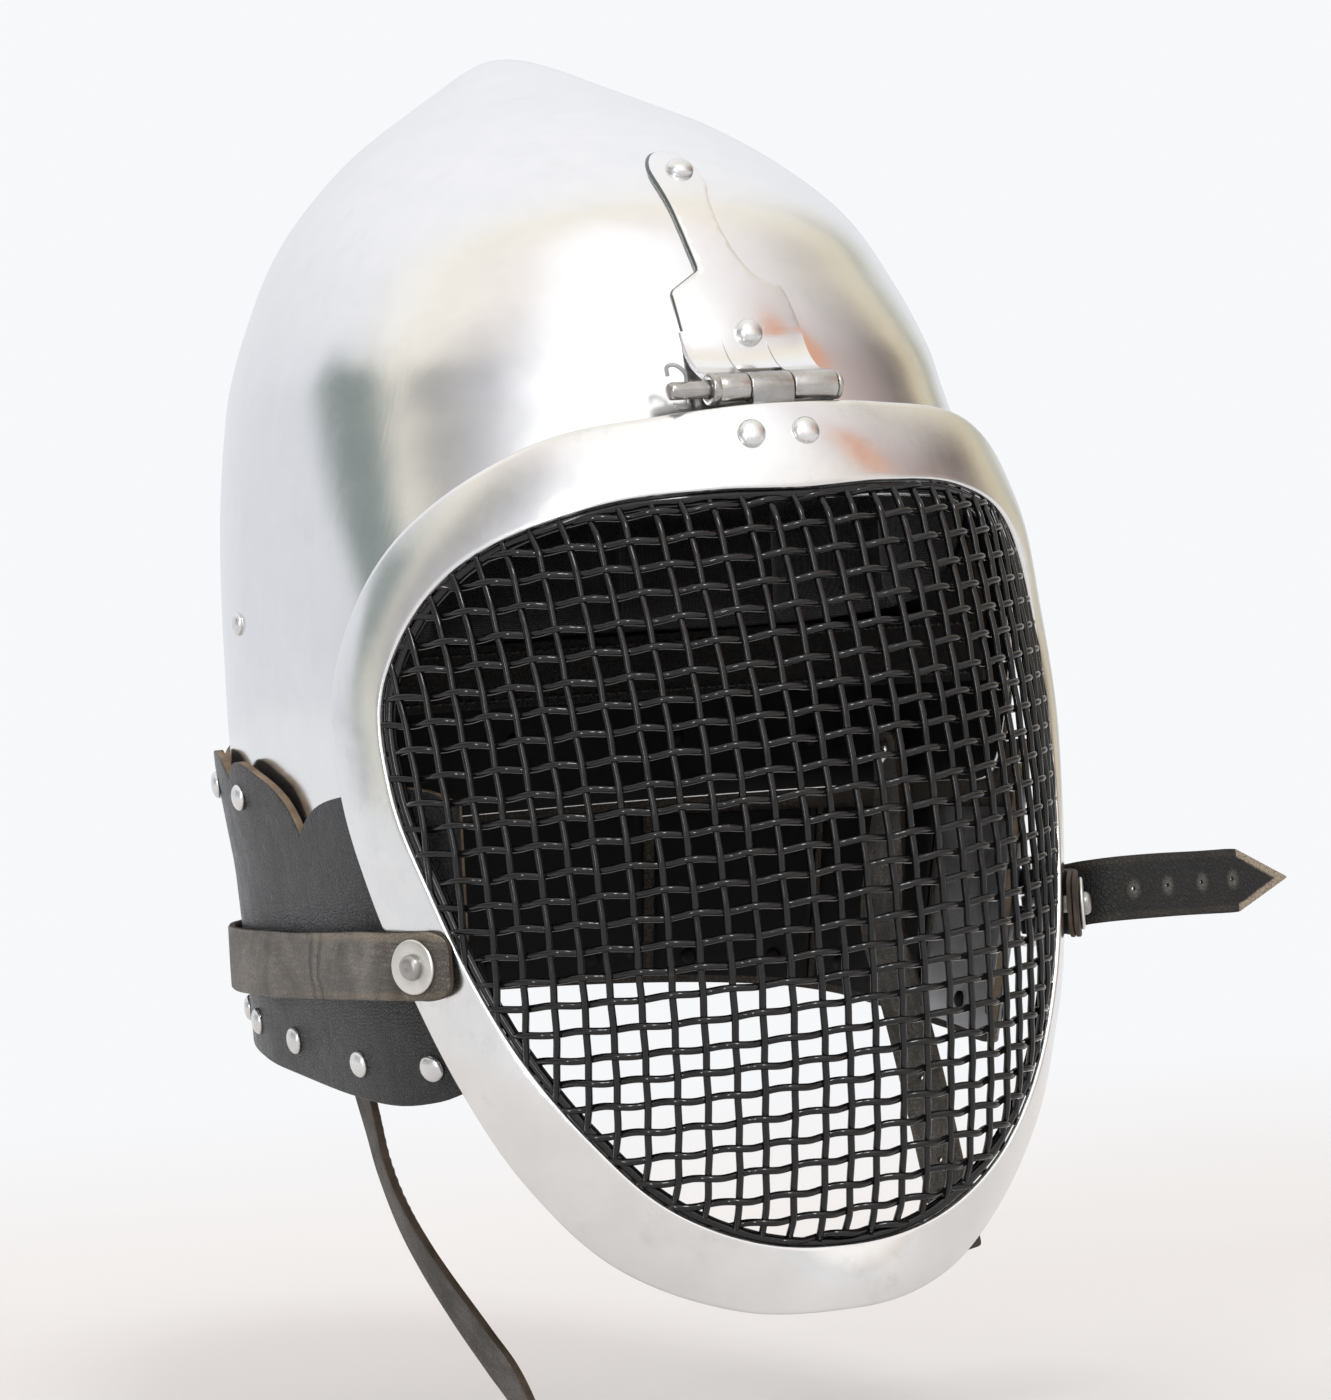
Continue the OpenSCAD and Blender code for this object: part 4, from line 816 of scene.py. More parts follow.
# ---------------------------------------------------------------- visor
FACE_L = [[0, 103.5, 121, -139.5], [15, 103.3, 120.6, -131], [30, 101, 118, -115.5], [45, 97.2, 113.5, -104],
          [60, 94.8, 108.6, -94.7], [75, 95.6, 107.5, -84.2], [90, 100.4, 112.2, -74], [105, 110.7, 122.6, -65.7],
          [120, 122.6, 133.8, -65.4], [135, 126.9, 141.5, -81.3], [150, 118, 140.2, -107.8], [165, 108.3, 131.2, -123],
          [180, 103.6, 127.5, -129.3]]
FACE_R = [[0, 103.5, 121, -139.5], [15, 104.3, 123.5, -131.5], [30, 103.2, 122, -116.5], [45, 98.8, 115.2, -104.5],
          [60, 96.3, 109.3, -95], [75, 96.3, 106, -83], [90, 100, 107.5, -71], [105, 109, 114.3, -61.5],
          [120, 119.6, 126, -61.5], [135, 124, 136.5, -79], [150, 116.8, 137.3, -106.5], [165, 107.8, 129.9, -122.5],
          [180, 103.6, 127.5, -129.3]]


def wrap(T):
    return [[-15] + T[1][1:]] + T + [[195] + T[11][1:]]


def face(p):
    p = np.mod(np.asarray(p, float), 360)
    return np.where((p > 180)[..., None], sm(360 - p, wrap(FACE_R)), sm(p, wrap(FACE_L)))


def dish(x, z):
    return -155.5 + 18 * ((z - 20) / 105) ** 2 + 58 * (np.abs(x) / 98) ** 2.54


def inner_pt(p):
    r = face(p)[..., 0]
    x, z = r * np.sin(np.radians(p)), 20 - r * np.cos(np.radians(p))
    return np.stack([x, dish(x, z), z], -1)


def outer_pt(p):
    f = face(p)
    return np.stack([f[..., 1] * np.sin(np.radians(p)), f[..., 2], 20 - f[..., 1] * np.cos(np.radians(p))], -1)


def band_n(p):
    t = outer_pt(p + 1) - outer_pt(p - 1) + inner_pt(p + 1) - inner_pt(p - 1)
    return unit(np.cross(outer_pt(p) - inner_pt(p), t))


def band_pt(p, u, d):
    p = np.asarray(p, float)
    return inner_pt(p) * (1 - u) + outer_pt(p) * u + band_n(p) * (d + 4.8 * u * (1 - u))


def visor_frame():
    P = np.arange(0, 360, 1.25)
    L = np.linalg.norm(outer_pt(P) - inner_pt(P), axis=-1)
    # the band's own hand-worked waviness, the same through its thickness
    wave = 0.16 * np.sin(np.radians(P * 11 + 40)) + 0.12 * np.sin(np.radians(P * 17 + 10)) + 0.10 * np.sin(np.radians(P * 5))
    e = 0.5 / L
    prof = [(0.0, -0.55), (e * 0.3, -0.12), (e, 0.0)] + [(u, 0.0) for u in np.linspace(0, 1, 15)[1:-1]] + [(1 - e, 0.0), (1 - e * 0.3, -0.12), (1 + 0 * e, -0.55),
            (1 + 0 * e, -1.3), (1 - e * 0.3, -1.68), (1 - e, -1.8)] + [(u, -1.8) for u in np.linspace(1, 0, 9)[1:-1]] + [(e, -1.8), (e * 0.3, -1.68), (0.0, -1.3)]
    rows = []
    for u, d in prof:
        u = np.broadcast_to(np.asarray(u, float), P.shape)[..., None]
        w = (wave * 4 * (u[..., 0] * (1 - u[..., 0])))[..., None]
        rows.append(inner_pt(P) * (1 - u) + outer_pt(P) * u + band_n(P) * (d + w + 4.8 * u * (1 - u)))
    return make("visor_frame_v", np.concatenate(rows), grid_faces(len(rows), len(P), loop_r=True, loop_c=True), "visor", ["visor_frame"], [m_frame], slot="polished_steel")


visor_frame()

B = Build()
knuckle(B, -7.9, 13.1, m=0)
top = float(band_pt(180.0, 1.0, -1.8)[1])
c20, s20 = math.cos(math.radians(-20)), math.sin(math.radians(-20))


def lug_yz(y, z):
    return (top + 0.75 + y * c20 - z * s20, 147.4 + y * s20 + z * c20)


def lug_place(P2, d):
    d = np.broadcast_to(np.asarray(d, float), (len(P2),))
    y, z = lug_yz(2.0 - d, P2[:, 1])
    return np.stack([P2[:, 0], y, z], -1)


outline = [(-17.3, -19.2), (-16.6, -20), (9.6, -20), (10.3, -19.2), (11.4, -17), (11.4, -4.2), (10.6, -2.4), (8.6, -1.5),
           (5.0, -1.4), (4.8, -1.2), (4.8, 2.6), (-7.5, 2.6), (-7.5, -1.2), (-7.7, -1.4), (-15.2, -1.5), (-17.4, -2.4), (-18.3, -4.2), (-18.3, -17)]
cut_sheet(B, outline, [], lug_place, 2.0, step=2.2, bevel=0.35, edge_m=0)
# the tab runs up flat in front of its knuckle
ring = np.array([(-126.9, 145.2), (-127.5, 147.5), (-128.0, 150), (-128.12, 151.8), (-127.9, 152.6), (-126.2, 152.2), (-125.0, 145.2)])
V = np.concatenate([np.stack([np.full(7, x), ring[:, 0] + dy, ring[:, 1]], -1) for x, dy in ((-7.7, 0.15), (-7.4, 0), (4.7, 0), (5.0, 0.15))])
B.add(V, grid_faces(4, 7, loop_c=True) + [tuple(range(7))[::-1], tuple(21 + j for j in range(7))], 1)
B.make("hinge_lug_v", "visor", ["hinge_lug"], [m_hinge, m_dull2], slot="hinge_steel", sharp=50)

B = Build()
for p in (177.8, 185.6):
    n = band_n(float(p))
    lathe(B, dome(4.0, 2.4), band_pt(float(p), 0.63, 0.05), n, 40, turn=p, wob=0.014)
    lathe(B, [(0.4, -5.4), (2.7, -5.2), (3.0, -4.6), (3.0, -4.2), (0.4, -4.2)][::-1], band_pt(float(p), 0.63, 0.05), n, 24)
B.make("lug_rivets_v", "visor", ["lug_rivets"], [m_rivet], slot="rivet_steel")


def rod_pt(p):
    s = unit(outer_pt(p) - inner_pt(p))
    return band_pt(p, 0.0, 0.0) - band_n(p) * (1.8 + 1.7 + 0.02) - s * 0.6


P = np.arange(0, 360, 1.5)
B = Build()
tube(B, rod_pt(P), 1.7 + 0.09 * np.sin(np.radians(P * 37)) * np.sin(np.radians(P * 13 + 20)), 12, closed=True, ref=[0, 1, 0.01])
B.make("edge_rod_v", "visor", ["edge_rod"], [m_wire], slot="black_wire")

# woven mesh: every wire runs over one and under the next
DEL = math.radians(2.5)
CD, SD = math.cos(DEL), math.sin(DEL)
PX, PZ = 8.25, 7.2


def arc_x():
    X, u = [0.0], [0.0]
    while X[-1] < 128:
        x = X[-1] + 0.5
        u.append(u[-1] + math.hypot(0.5, float(dish(x, 0) - dish(X[-1], 0))))
        X.append(x)
    return np.array(u), np.array(X)


au, ax = arc_x()


def x_of(u):
    return np.sign(u) * np.interp(np.abs(u), au, ax)


def u_of(x):
    return np.sign(x) * np.interp(np.abs(x), ax, au)


def to_xz(xr, zr):
    return xr * CD - (zr - 20) * SD, 20 + xr * SD + (zr - 20) * CD


def open_at(x, z, grow=0.0):
    p = np.degrees(np.arctan2(x, 20 - z))
    return np.hypot(x, z - 20) < face(p)[..., 0] + grow


def set_back(x, z):
    """How far the mesh lies back near its rim, where it is welded behind the frame."""
    p = np.degrees(np.arctan2(x, 20 - z))
    q = np.clip((face(p)[..., 0] - np.hypot(x, z - 20)) / 9.0, 0, 1)
    return 2.3 * (1 - q * q * (3 - 2 * q))


def runs(ok):
    idx = np.where(ok)[0]
    return (idx[0], idx[-1]) if len(idx) > 4 else None


cols = [(k, 2.92 + PX * k + 0.22 * math.sin(k * 2.3) + 0.12 * math.sin(k * 5.1)) for k in range(-17, 18)]
lines = [(k, 12.6 + PZ * k + 0.20 * math.sin(k * 1.9 + 1) + 0.12 * math.sin(k * 4.3)) for k in range(-14, 18)]
col_u = np.array([u for _, u in cols])
row_z = np.array([z for _, z in lines])
WIRE = 1.03
B = Build()
for k, u0 in cols:
    zr = np.arange(-108, 150, 0.9)
    bend = 0.25 * np.sin(zr / 31.0 + k * 1.7) + 0.12 * np.sin(zr / 11.0 + k)
    u = u0 + bend
    x, z = to_xz(x_of(u), zr)
    r = runs(open_at(x, z, 0.4))
    if r is None or r[1] - r[0] < 60:
        continue
    sl = slice(r[0], r[1] + 1)
    # place among the cross wires: behind where one passes in front
    ph = np.interp(zr, row_z, np.arange(len(row_z)))
    s = np.cos(np.pi * (ph - 14 + k))
    y = dish(x, z) + 1.35 + 0.22 * s + set_back(x, z)
    tube(B, np.stack([x, y, z], -1)[sl], WIRE, 9, ref=[1, 0, 0])
B.make("mesh_uprights_v", "visor", ["mesh_uprights"], [m_wire], slot="black_wire")
B = Build()
for k, z0 in lines:
    u = np.arange(-150, 150, 0.9)
    zr = z0 + 0.22 * np.sin(u / 37.0 + k * 1.3) + 0.10 * np.sin(u / 9.0 + k * 2.1)
    x, z = to_xz(x_of(u), zr)
    r = runs(open_at(x, z, 0.4) & (np.abs(x) < 127))
    if r is None:
        continue
    sl = slice(r[0], r[1] + 1)
    ph = np.interp(u, col_u, np.arange(len(col_u)))
    c = np.cos(np.pi * (ph - 17 + k))
    c = np.sign(c) * np.abs(c) ** 0.85
    # in front where it passes over; normal to the curved face
    nx = np.gradient(dish(x, z), x)
    ny = 1 / np.sqrt(1 + nx * nx)
    d = 1.35 - 0.94 * c
    y = dish(x, z) + d * ny + set_back(x, z)
    xx = x - d * nx * ny
    low_w = np.clip((15 - z) / 60, 0, 1)
    z = z - 0.4 * np.sin(np.pi * (ph - 17 + k)) * low_w + 0.38 * c * (1 - low_w)
    tube(B, np.stack([xx, y, z], -1)[sl], WIRE, 9, ref=[0, 0, 1])
B.make("mesh_crosswires_v", "visor", ["mesh_crosswires"], [m_wire], slot="black_wire")

# ---------------------------------------------------------------- closure strap
STRAP_W, STRAP_T = 19.0, 2.4
strap_right = [[-96.6, -103.6, 0], [-98.9, -99.4, 0], [-101.2, -94.6, 0], [-103.2, -90, 0], [-105.2, -85, 0], [-106.9, -80, 0], [-107.9, -73, 0], [-108, -64, -0.1], [-107.7, -48, -0.6], [-107.4, -28, -1.1]]
strap_turns = []
for a in range(280, 79, -10):
    q = off(float(a), 9.5, 0.1 + 2.6 + 1.9 + 0.8 * min(max((75 - abs(180 - a)) / 40, 0), 1) + 1.2)
    strap_turns.append([q[0], q[1], -1.5])
strap_left = [[107.4, -24, -1], [108.4, -36, -0.4], [109.2, -45, 0], [111.4, -53.5, 0], [113.7, -62, 0], [114.8, -69, 0.6], [115, -75, 1.4],
              [116, -81, 2.2], [119.8, -86.2, 2.8], [127, -88.6, 3], [140, -88.8, 2.8], [152, -88.4, 2.4], [163.5, -88, 2.1]]
tip = [[167, -87.9, 2], [171, -87.7, 1.9], [175, -87.5, 1.8], [179, -87.3, 1.7], [181.2, -87.2, 1.7]]


class Line:
    """A smooth centre line by its arc length."""

    def __init__(self, P):
        self.P = np.asarray(P, float)
        self.s = np.concatenate([[0], np.cumsum(np.linalg.norm(np.diff(self.P, axis=0), axis=1))])
        self.T = unit(np.gradient(self.P, self.s, axis=0))
        self.len = self.s[-1]

    def at(self, s, A=None):
        A = self.P if A is None else A
        return np.stack([np.interp(s, self.s, A[:, i]) for i in range(3)], -1)

    def near(self, p, dims=(0, 1)):
        d = np.linalg.norm(self.P[:, dims] - np.asarray(p, float)[: len(dims)], axis=1)
        return float(self.s[np.argmin(d)])


strap = Line(np.concatenate([path(strap_right + strap_turns + strap_left, 8), path([[163.5, -88, 2.1]] + tip, 4)[1:]]))


def upright(line, t):
    """Bend a strap whose width stands upright; its face looks away from the helmet."""
    def place(P2, d):
        c = line.at(P2[:, 0])
        T = line.at(P2[:, 0], line.T)
        N = unit(np.stack([-T[:, 1], T[:, 0], 0 * T[:, 0]], -1))
        d = np.broadcast_to(np.asarray(d, float), (len(P2),))
        return c + N * (d - t / 2)[:, None] - np.stack([0 * c[:, 0], 0 * c[:, 0], P2[:, 1]], -1)
    return place


def round_end(w, L, n=9):
    """Half widths for a softly squared end, from the end inward."""
    return [(L * (1 - math.cos(math.pi / 2 * i / n)), w * (0.42 + 0.58 * math.sin(math.pi / 2 * i / n) ** 0.8)) for i in range(n + 1)]


hw = STRAP_W / 2
s_tip0 = strap.near((163.5, -88))
s_end = strap.len
edge_up, edge_dn = [], []
for s, w in round_end(hw, 8.5):
    edge_up.append((s + 2.6, w))
for s in np.arange(14, s_tip0 - 3, 5.0):
    edge_up.append((s, hw - 0.10 + 0.10 * math.sin(s / 23.0) * math.cos(s / 7.0)))
edge_up += [(s_tip0 - 1.5, hw - 0.1), (s_tip0 - 0.2, hw - 0.2)]
outline = edge_up + [(s_end - 0.4, 0.35), (s_end - 0.1, 0.0), (s_end - 0.4, -0.35)] + [(s, -w) for s, w in edge_up[::-1]]
outline = outline[::-1]
holes, spots = [], []
for x in (127, 138.5, 150, 161.5):
    k = int(np.argmin(np.abs(strap.P[:, 0] - x) + 100 * (strap.P[:, 1] > -80)))
    # painted light round each hole, for the backdrop seen through it
    spots.append((strap.s[k] / 1000, (strap.P[k, 2] - 2.6) / 1000))
    holes.append(disc_poly((strap.s[k], strap.P[k, 2] - 2.6), 0.6, 14))
sc = strap.near((112.6, -57))
slot = [(sc - 6.4 + 1.8 * math.cos(a), 1.8 * math.sin(a)) for a in np.radians(np.arange(90, 271, 20))] + [(sc + 6.4 + 1.8 * math.cos(a), 1.8 * math.sin(a)) for a in np.radians(np.arange(-90, 91, 20))]
holes.append(slot)
m_strap = leather("leather_strap", (0.055, 0.047, 0.038), (0.125, 0.110, 0.094), (0.26, 0.235, 0.205), 0.40, 0.60, wear=0.7, uv=True, streak=7.0, crease=(0.0705, 0.0775, 0.238),
                  shade=(s_end / 1000, s_tip0 / 1000, hw / 1000, spots))
m_strap_in = leather("leather_strap_back", (0.012, 0.0118, 0.0115), (0.019, 0.0185, 0.018), (0.05, 0.047, 0.043), 0.60, 0.80, wear=0.45, uv=True, streak=5.0, cell=700,
                     shade=(s_end / 1000, s_tip0 / 1000, hw / 1000, spots))
B = Build()


def strap_lift(P2):
    s, v = P2[:, 0], P2[:, 1]
    # soft cupping across the width and light waves along it
    return -0.14 - 0.10 * (np.abs(v) / hw) ** 2 + 0.06 * np.sin(s / 9.0 + v * 0.2)


cut_sheet(B, outline, holes, upright(strap, STRAP_T), STRAP_T, step=1.9, fine=1.1, bevel=0.55, face_m=0, back_m=1, edge_m=2, lift=strap_lift)
B.make("closure_strap_v", "visor", ["closure_strap"], [m_strap, m_strap_in, m_edge], slot="strap_leather", sharp=60)

M_in, N_in = np.array([-101.6, -89.7, 0]), unit([-0.912, -0.41, 0])


def washer(B, p, n, turn):
    lathe(B, [(2.7, 0.25), (2.9, 0.02), (7.1, 0.0), (7.45, 0.12), (7.6, 0.45), (7.6, 0.75), (7.35, 1.08), (6.9, 1.2), (5.0, 1.12), (3.2, 1.16), (2.85, 1.05), (2.7, 0.8), (2.7, 0.25)], p, n, 56, turn=turn, wob=0.006)


def flat_rivet(B, p, n, r, h, turn, shank):
    rows = [(2.4, -0.2), (r * 0.98, -0.04), (r, 0.18), (r * 0.97, h * 0.42), (r * 0.86, h * 0.74), (r * 0.62, h * 0.95), (r * 0.34, h), (r * 0.12, h * 0.93), (r * 0.02, h * 0.90)]
    lathe(B, rows, p, n, 36, turn=turn, wob=0.03)
    lathe(B, [(2.5, -shank), (2.5, -0.1)], p, n, 20)


B = Build()
washer(B, M_in + N_in * (0.15 + STRAP_T + 0.15), N_in, 0.3)
B.make("strap_washer_v", "visor", ["strap_washer"], [m_washer], slot="rivet_steel", sharp=60)
B = Build()
flat_rivet(B, M_in + N_in * (0.15 + STRAP_T + 1.37), N_in, 3.5, 2.1, 0.8, STRAP_T + 3.6)
B.make("strap_rivet_v", "visor", ["strap_rivet"], [m_dull2], slot="rivet_steel", sharp=60)

# ---------------------------------------------------------------- buckle tab, buckle and prong
TAB_T = 3.2
tab = Line(path([[99.5, -99.9, 0], [102.6, -95.8, 0], [105.3, -91.5, 0], [107.9, -87.1, 0], [110, -82.2, 0], [110.9, -77, 0], [110.3, -70.5, 0], [108.6, -63.8, 0]], 8))
bar_in, bar_out = np.array([108.3, -62, 0]), np.array([112.5, -44, 0])


def upright_out(line, t, lo, hi):
    """As upright, for a line that runs back along the wearer's left: its face looks to +X."""
    def place(P2, d):
        c = line.at(P2[:, 0])
        T = line.at(P2[:, 0], line.T)
        N = unit(np.stack([T[:, 1], -T[:, 0], 0 * T[:, 0]], -1))
        d = lo + np.clip(np.broadcast_to(np.asarray(d, float), (len(P2),)), -0.2, hi - lo + 0.2)
        return c + N * (d - t / 2)[:, None] + np.stack([0 * c[:, 0], 0 * c[:, 0], P2[:, 1]], -1)
    return place


notch = tab.near((108.9, -68.2))
outline = [(s + 0.05, -w) for s, w in round_end(hw, 7.5)] + [(tab.len - 0.3, -hw), (tab.len, -hw + 0.3), (tab.len, -2.25), (notch + 1, -2.25), (notch, -1.4), (notch - 0.2, 0), (notch, 1.4), (notch + 1, 2.25),
                                                          (tab.len, 2.25), (tab.len, hw - 0.3), (tab.len - 0.3, hw)] + [(s + 0.05, w) for s, w in round_end(hw, 7.5)[::-1]]
B = Build()
for lo, hi in ((0.0, 1.52), (1.62, TAB_T)):
    cut_sheet(B, outline, [], upright_out(tab, TAB_T, lo, hi), hi - lo, step=2.0, fine=1.0, bevel=0.4, face_m=0, back_m=0, edge_m=1)
for z0 in (2.25, -9.5):
    h = 7.25
    lathe(B, [(1.65, 0.12), (1.8, 0), (3.35, 0), (3.6, 0.3), (3.6, h - 0.3), (3.35, h), (1.8, h), (1.65, h - 0.12), (1.65, 0.12)], (bar_in[0], bar_in[1], z0), (0, 0, 1), 36)
for v in (-hw + 2.2, hw - 2.2):
    # stitches that close the fold in front of the bar
    for s in np.arange(notch - 12.5, notch - 0.5, 3.0):
        pts = upright_out(tab, TAB_T, TAB_T, TAB_T)(np.array([[s, v], [s + 1.0, v], [s + 2.0, v]]), np.array([0.0, 0.12, 0.0]))
        tube(B, pts, 0.32, 6, m=2)
B.make("buckle_tab_v", "visor", ["buckle_tab"], [m_strap2, m_edge, m_thread], slot="strap_leather", sharp=60)

M_tab, N_tab = np.array([103.9, -90.7, 0]), unit([0.85, -0.527, 0])
B = Build()
washer(B, M_tab + N_tab * (TAB_T + 0.02), N_tab, 1.1)
B.make("tab_washer_v", "visor", ["tab_washer"], [m_washer], slot="rivet_steel", sharp=60)
B = Build()
flat_rivet(B, M_tab + N_tab * (TAB_T + 1.24), N_tab, 3.5, 2.1, 2.1, TAB_T + 4.0)
B.make("tab_rivet_v", "visor", ["tab_rivet"], [m_dull2], slot="rivet_steel", sharp=60)


def buckle(B, o, Y, Z, w, l, r, rc=3.0):
    """A wire buckle: a rounded rectangle of wire, the hinge bar along Z at o, the far bar at o + l Y."""
    o, Y, Z = np.asarray(o, float), unit(Y), unit(Z)
    pts = []
    for cy, cz, a0 in ((l - rc, w / 2 - rc, 0), (rc, w / 2 - rc, 90), (rc, -w / 2 + rc, 180), (l - rc, -w / 2 + rc, 270)):
        for a in range(0, 91, 15):
            t = math.radians(a0 + a)
            pts.append((cy + rc * math.cos(t), cz + rc * math.sin(t)))
    ring = dense(pts, 1.6)
    P = o + ring[:, :1] * Y + ring[:, 1:] * Z
    tube(B, P, r, 16, closed=True, ref=np.cross(Y, Z))


def prong(B, o, v, Z, bar_r, r, bow=0.7):
    """An eye round the bar at o and a slightly bowed pin out along v."""
    o, v, Z = np.asarray(o, float), np.asarray(v, float), unit(Z)
    L = np.linalg.norm(v)
    Y = v / L
    X = np.cross(Y, Z)
    h = 3.3
    lathe(B, [(bar_r + 0.06, 0.15), (bar_r + 0.25, 0), (2.75, 0), (3.0, 0.35), (3.0, h - 0.35), (2.75, h), (bar_r + 0.25, h), (bar_r + 0.06, h - 0.15), (bar_r + 0.06, 0.15)], o - Z * h / 2, Z, 32)
    u = np.linspace(0, 1, 20)
    P = o + Y * (2.4 + (L + 0.85 - 2.4) * u)[:, None] + X * (bow * np.sin(np.pi * u) * 0.5)[:, None]
    R = r * np.interp(u, [0, 0.12, 0.8, 0.95, 1], [1.0, 1.0, 0.98, 0.8, 0.45])
    tube(B, P, R, 14, ref=Z)


Zu = np.array([0, 0, 1.0])
d = bar_out - bar_in
B = Build()
buckle(B, bar_in, d, Zu, 24.6, float(np.linalg.norm(d)), 1.6)
B.make("closure_buckle_v", "closure_buckle", ["closure_buckle"], [m_buckle], slot="buckle_steel")
B = Build()
prong(B, bar_in, [8.9, 20.4, 0], Zu, 1.6, 1.2, bow=0.4)
B.make("closure_prong_v", "closure_prong", ["closure_prong"], [m_buckle], slot="buckle_steel", sharp=60)

# ---------------------------------------------------------------- chin straps
CHIN_W, CHIN_T = 14.0, 2.6
chin_right = [[-98.2, 2, 52], [-98.2, 2, 46], [-97, 0, 30], [-94.5, -4.5, 5], [-91.5, -10.5, -20], [-88, -15, -45], [-84.8, -15.2, -61],
              [-81, -17.5, -75], [-77, -23.6, -88], [-73, -33, -100.5], [-69.5, -46, -113], [-67, -56.5, -122.5], [-65.6, -64.5, -133], [-65, -69.5, -143]]
chin_left = [[98.2, 2, 52], [98.2, 2, 46], [96.8, 0, 30], [92.5, -2.5, 10], [88.5, -6, -8], [87, -16, -25], [85.5, -29.5, -51], [84, -42, -80], [82, -52, -102]]


def chin_place(pts, flat1):
    line = Line(path(pts, 8))
    n = len(line.P)
    k = np.clip((np.arange(n) / (n - 1) - 0.16) * 3, 0, 1)[:, None]
    k = k * k * (3 - 2 * k)
    flat = np.array([1, 0, 0]) * (1 - k) + np.array(flat1, float) * k
    W = unit(np.cross(flat, line.T))
    Q = unit(np.cross(line.T, W))

    def place(P2, d):
        d = np.broadcast_to(np.asarray(d, float), (len(P2),))
        return line.at(P2[:, 0]) + unit(line.at(P2[:, 0], W)) * P2[:, 1:] + unit(line.at(P2[:, 0], Q)) * (d - CHIN_T / 2)[:, None]
    return line, place


chin_end = np.array([-65, -69.5, -143.0])
chin_dir = unit([0, -0.45, -0.89])
chin_bar = chin_end + chin_dir * 2.4
chin_z = unit([0, -chin_dir[2], chin_dir[1]])
cw = CHIN_W / 2


def chin_strap(name, body, node, pts, flat1, loop):
    line, place = chin_place(pts, flat1)
    L = line.len
    hole_s = 6.0
    start = [(s + 0.05, -w) for s, w in round_end(cw, 4.5)]
    side = [(s, -cw + 0.12 * math.sin(s / 17.0)) for s in np.arange(10, L - 6, 6.0)]
    if loop:
        end = [(L - 0.6, -cw), (L, -cw + 0.5), (L, -2.3), (L - 3.0, -2.3), (L - 3.9, -1.2), (L - 3.9, 1.2), (L - 3.0, 2.3), (L, 2.3), (L, cw - 0.5), (L - 0.6, cw)]
    else:
        end = [(L - 1.2, -cw), (L - 0.3, -cw + 0.3), (L - 0.05, -cw + 1.2), (L - 0.05, cw - 1.2), (L - 0.3, cw - 0.3), (L - 1.2, cw)]
    back_side = [(s, cw - 0.12 * math.sin(s / 13.0 + 2)) for s in np.arange(10, L - 6, 6.0)][::-1]
    outline = start + side + end + back_side + [(s + 0.05, w) for s, w in round_end(cw, 4.5)[::-1]]
    holes = [disc_poly((hole_s, 0), 2.05, 20)]
    if not loop:
        holes += [disc_poly((L - 16 - 13.0 * i, 0), 0.8, 14) for i in range(4)]
    B = Build()
    cut_sheet(B, outline, holes, place, CHIN_T, step=1.8, fine=1.0, bevel=0.5, face_m=0, back_m=0, edge_m=1,
              lift=lambda P2: 0.08 * np.sin(P2[:, 0] / 7.0) * np.cos(P2[:, 1] / 4.0) - 0.1)
    if loop:
        for k in (2.3, -cw):
            h = cw - 2.3
            lathe(B, [(1.55, 0.12), (1.7, 0), (3.2, 0), (3.4, 0.25), (3.4, h - 0.25), (3.2, h), (1.7, h), (1.55, h - 0.12), (1.55, 0.12)], chin_bar + chin_z * k, chin_z, 32)
    # two sewn lines, one along each side
    for v in (-cw + 2.0, cw - 2.0):
        for s in np.arange(10.5, L - (5.5 if loop else 3.5), 3.2):
            pts3 = place(np.array([[s, v], [s + 1.0, v], [s + 2.1, v]]), np.array([CHIN_T - 0.05, CHIN_T + 0.10, CHIN_T - 0.05]))
            tube(B, pts3, 0.28, 5, m=2)
    return B.make(name, body, [node], [m_chin, m_edge, m_thread2], slot="chin_leather", sharp=60)


chin_strap("chin_strap_right_v", "chin_strap_right", "chin_strap_right", chin_right, [1, -0.2, 0], True)
chin_strap("chin_strap_left_v", "chin_strap_left", "chin_strap_left", chin_left, [0.8, 0.6, 0], False)

B = Build()
for s in (-1, 1):
    n = np.array([-s, 0, 0.0])
    p = np.array([s * 98.2, 2, 46.0]) + n * (CHIN_T / 2 + 0.4)
    lathe(B, dome(3.8, 1.8), p, n, 36, turn=s, wob=0.015)
    lathe(B, [(1.95, -8.3), (1.95, -0.1)], p, n, 20)
B.make("chin_strap_rivets_v", "helmet", ["chin_strap_rivets"], [m_rivet], slot="rivet_steel")
B = Build()
buckle(B, chin_bar, chin_dir, chin_z, 18.6, 16, 1.5, rc=2.6)
B.make("chin_buckle_v", "chin_buckle", ["chin_buckle"], [m_buckle], slot="buckle_steel")
B = Build()
prong(B, chin_bar, np.array([3.6, 0, 0]) + chin_dir * 18.3, chin_z, 1.5, 1.1, bow=0.3)
B.make("chin_prong_v", "chin_prong", ["chin_prong"], [m_buckle], slot="buckle_steel", sharp=60)

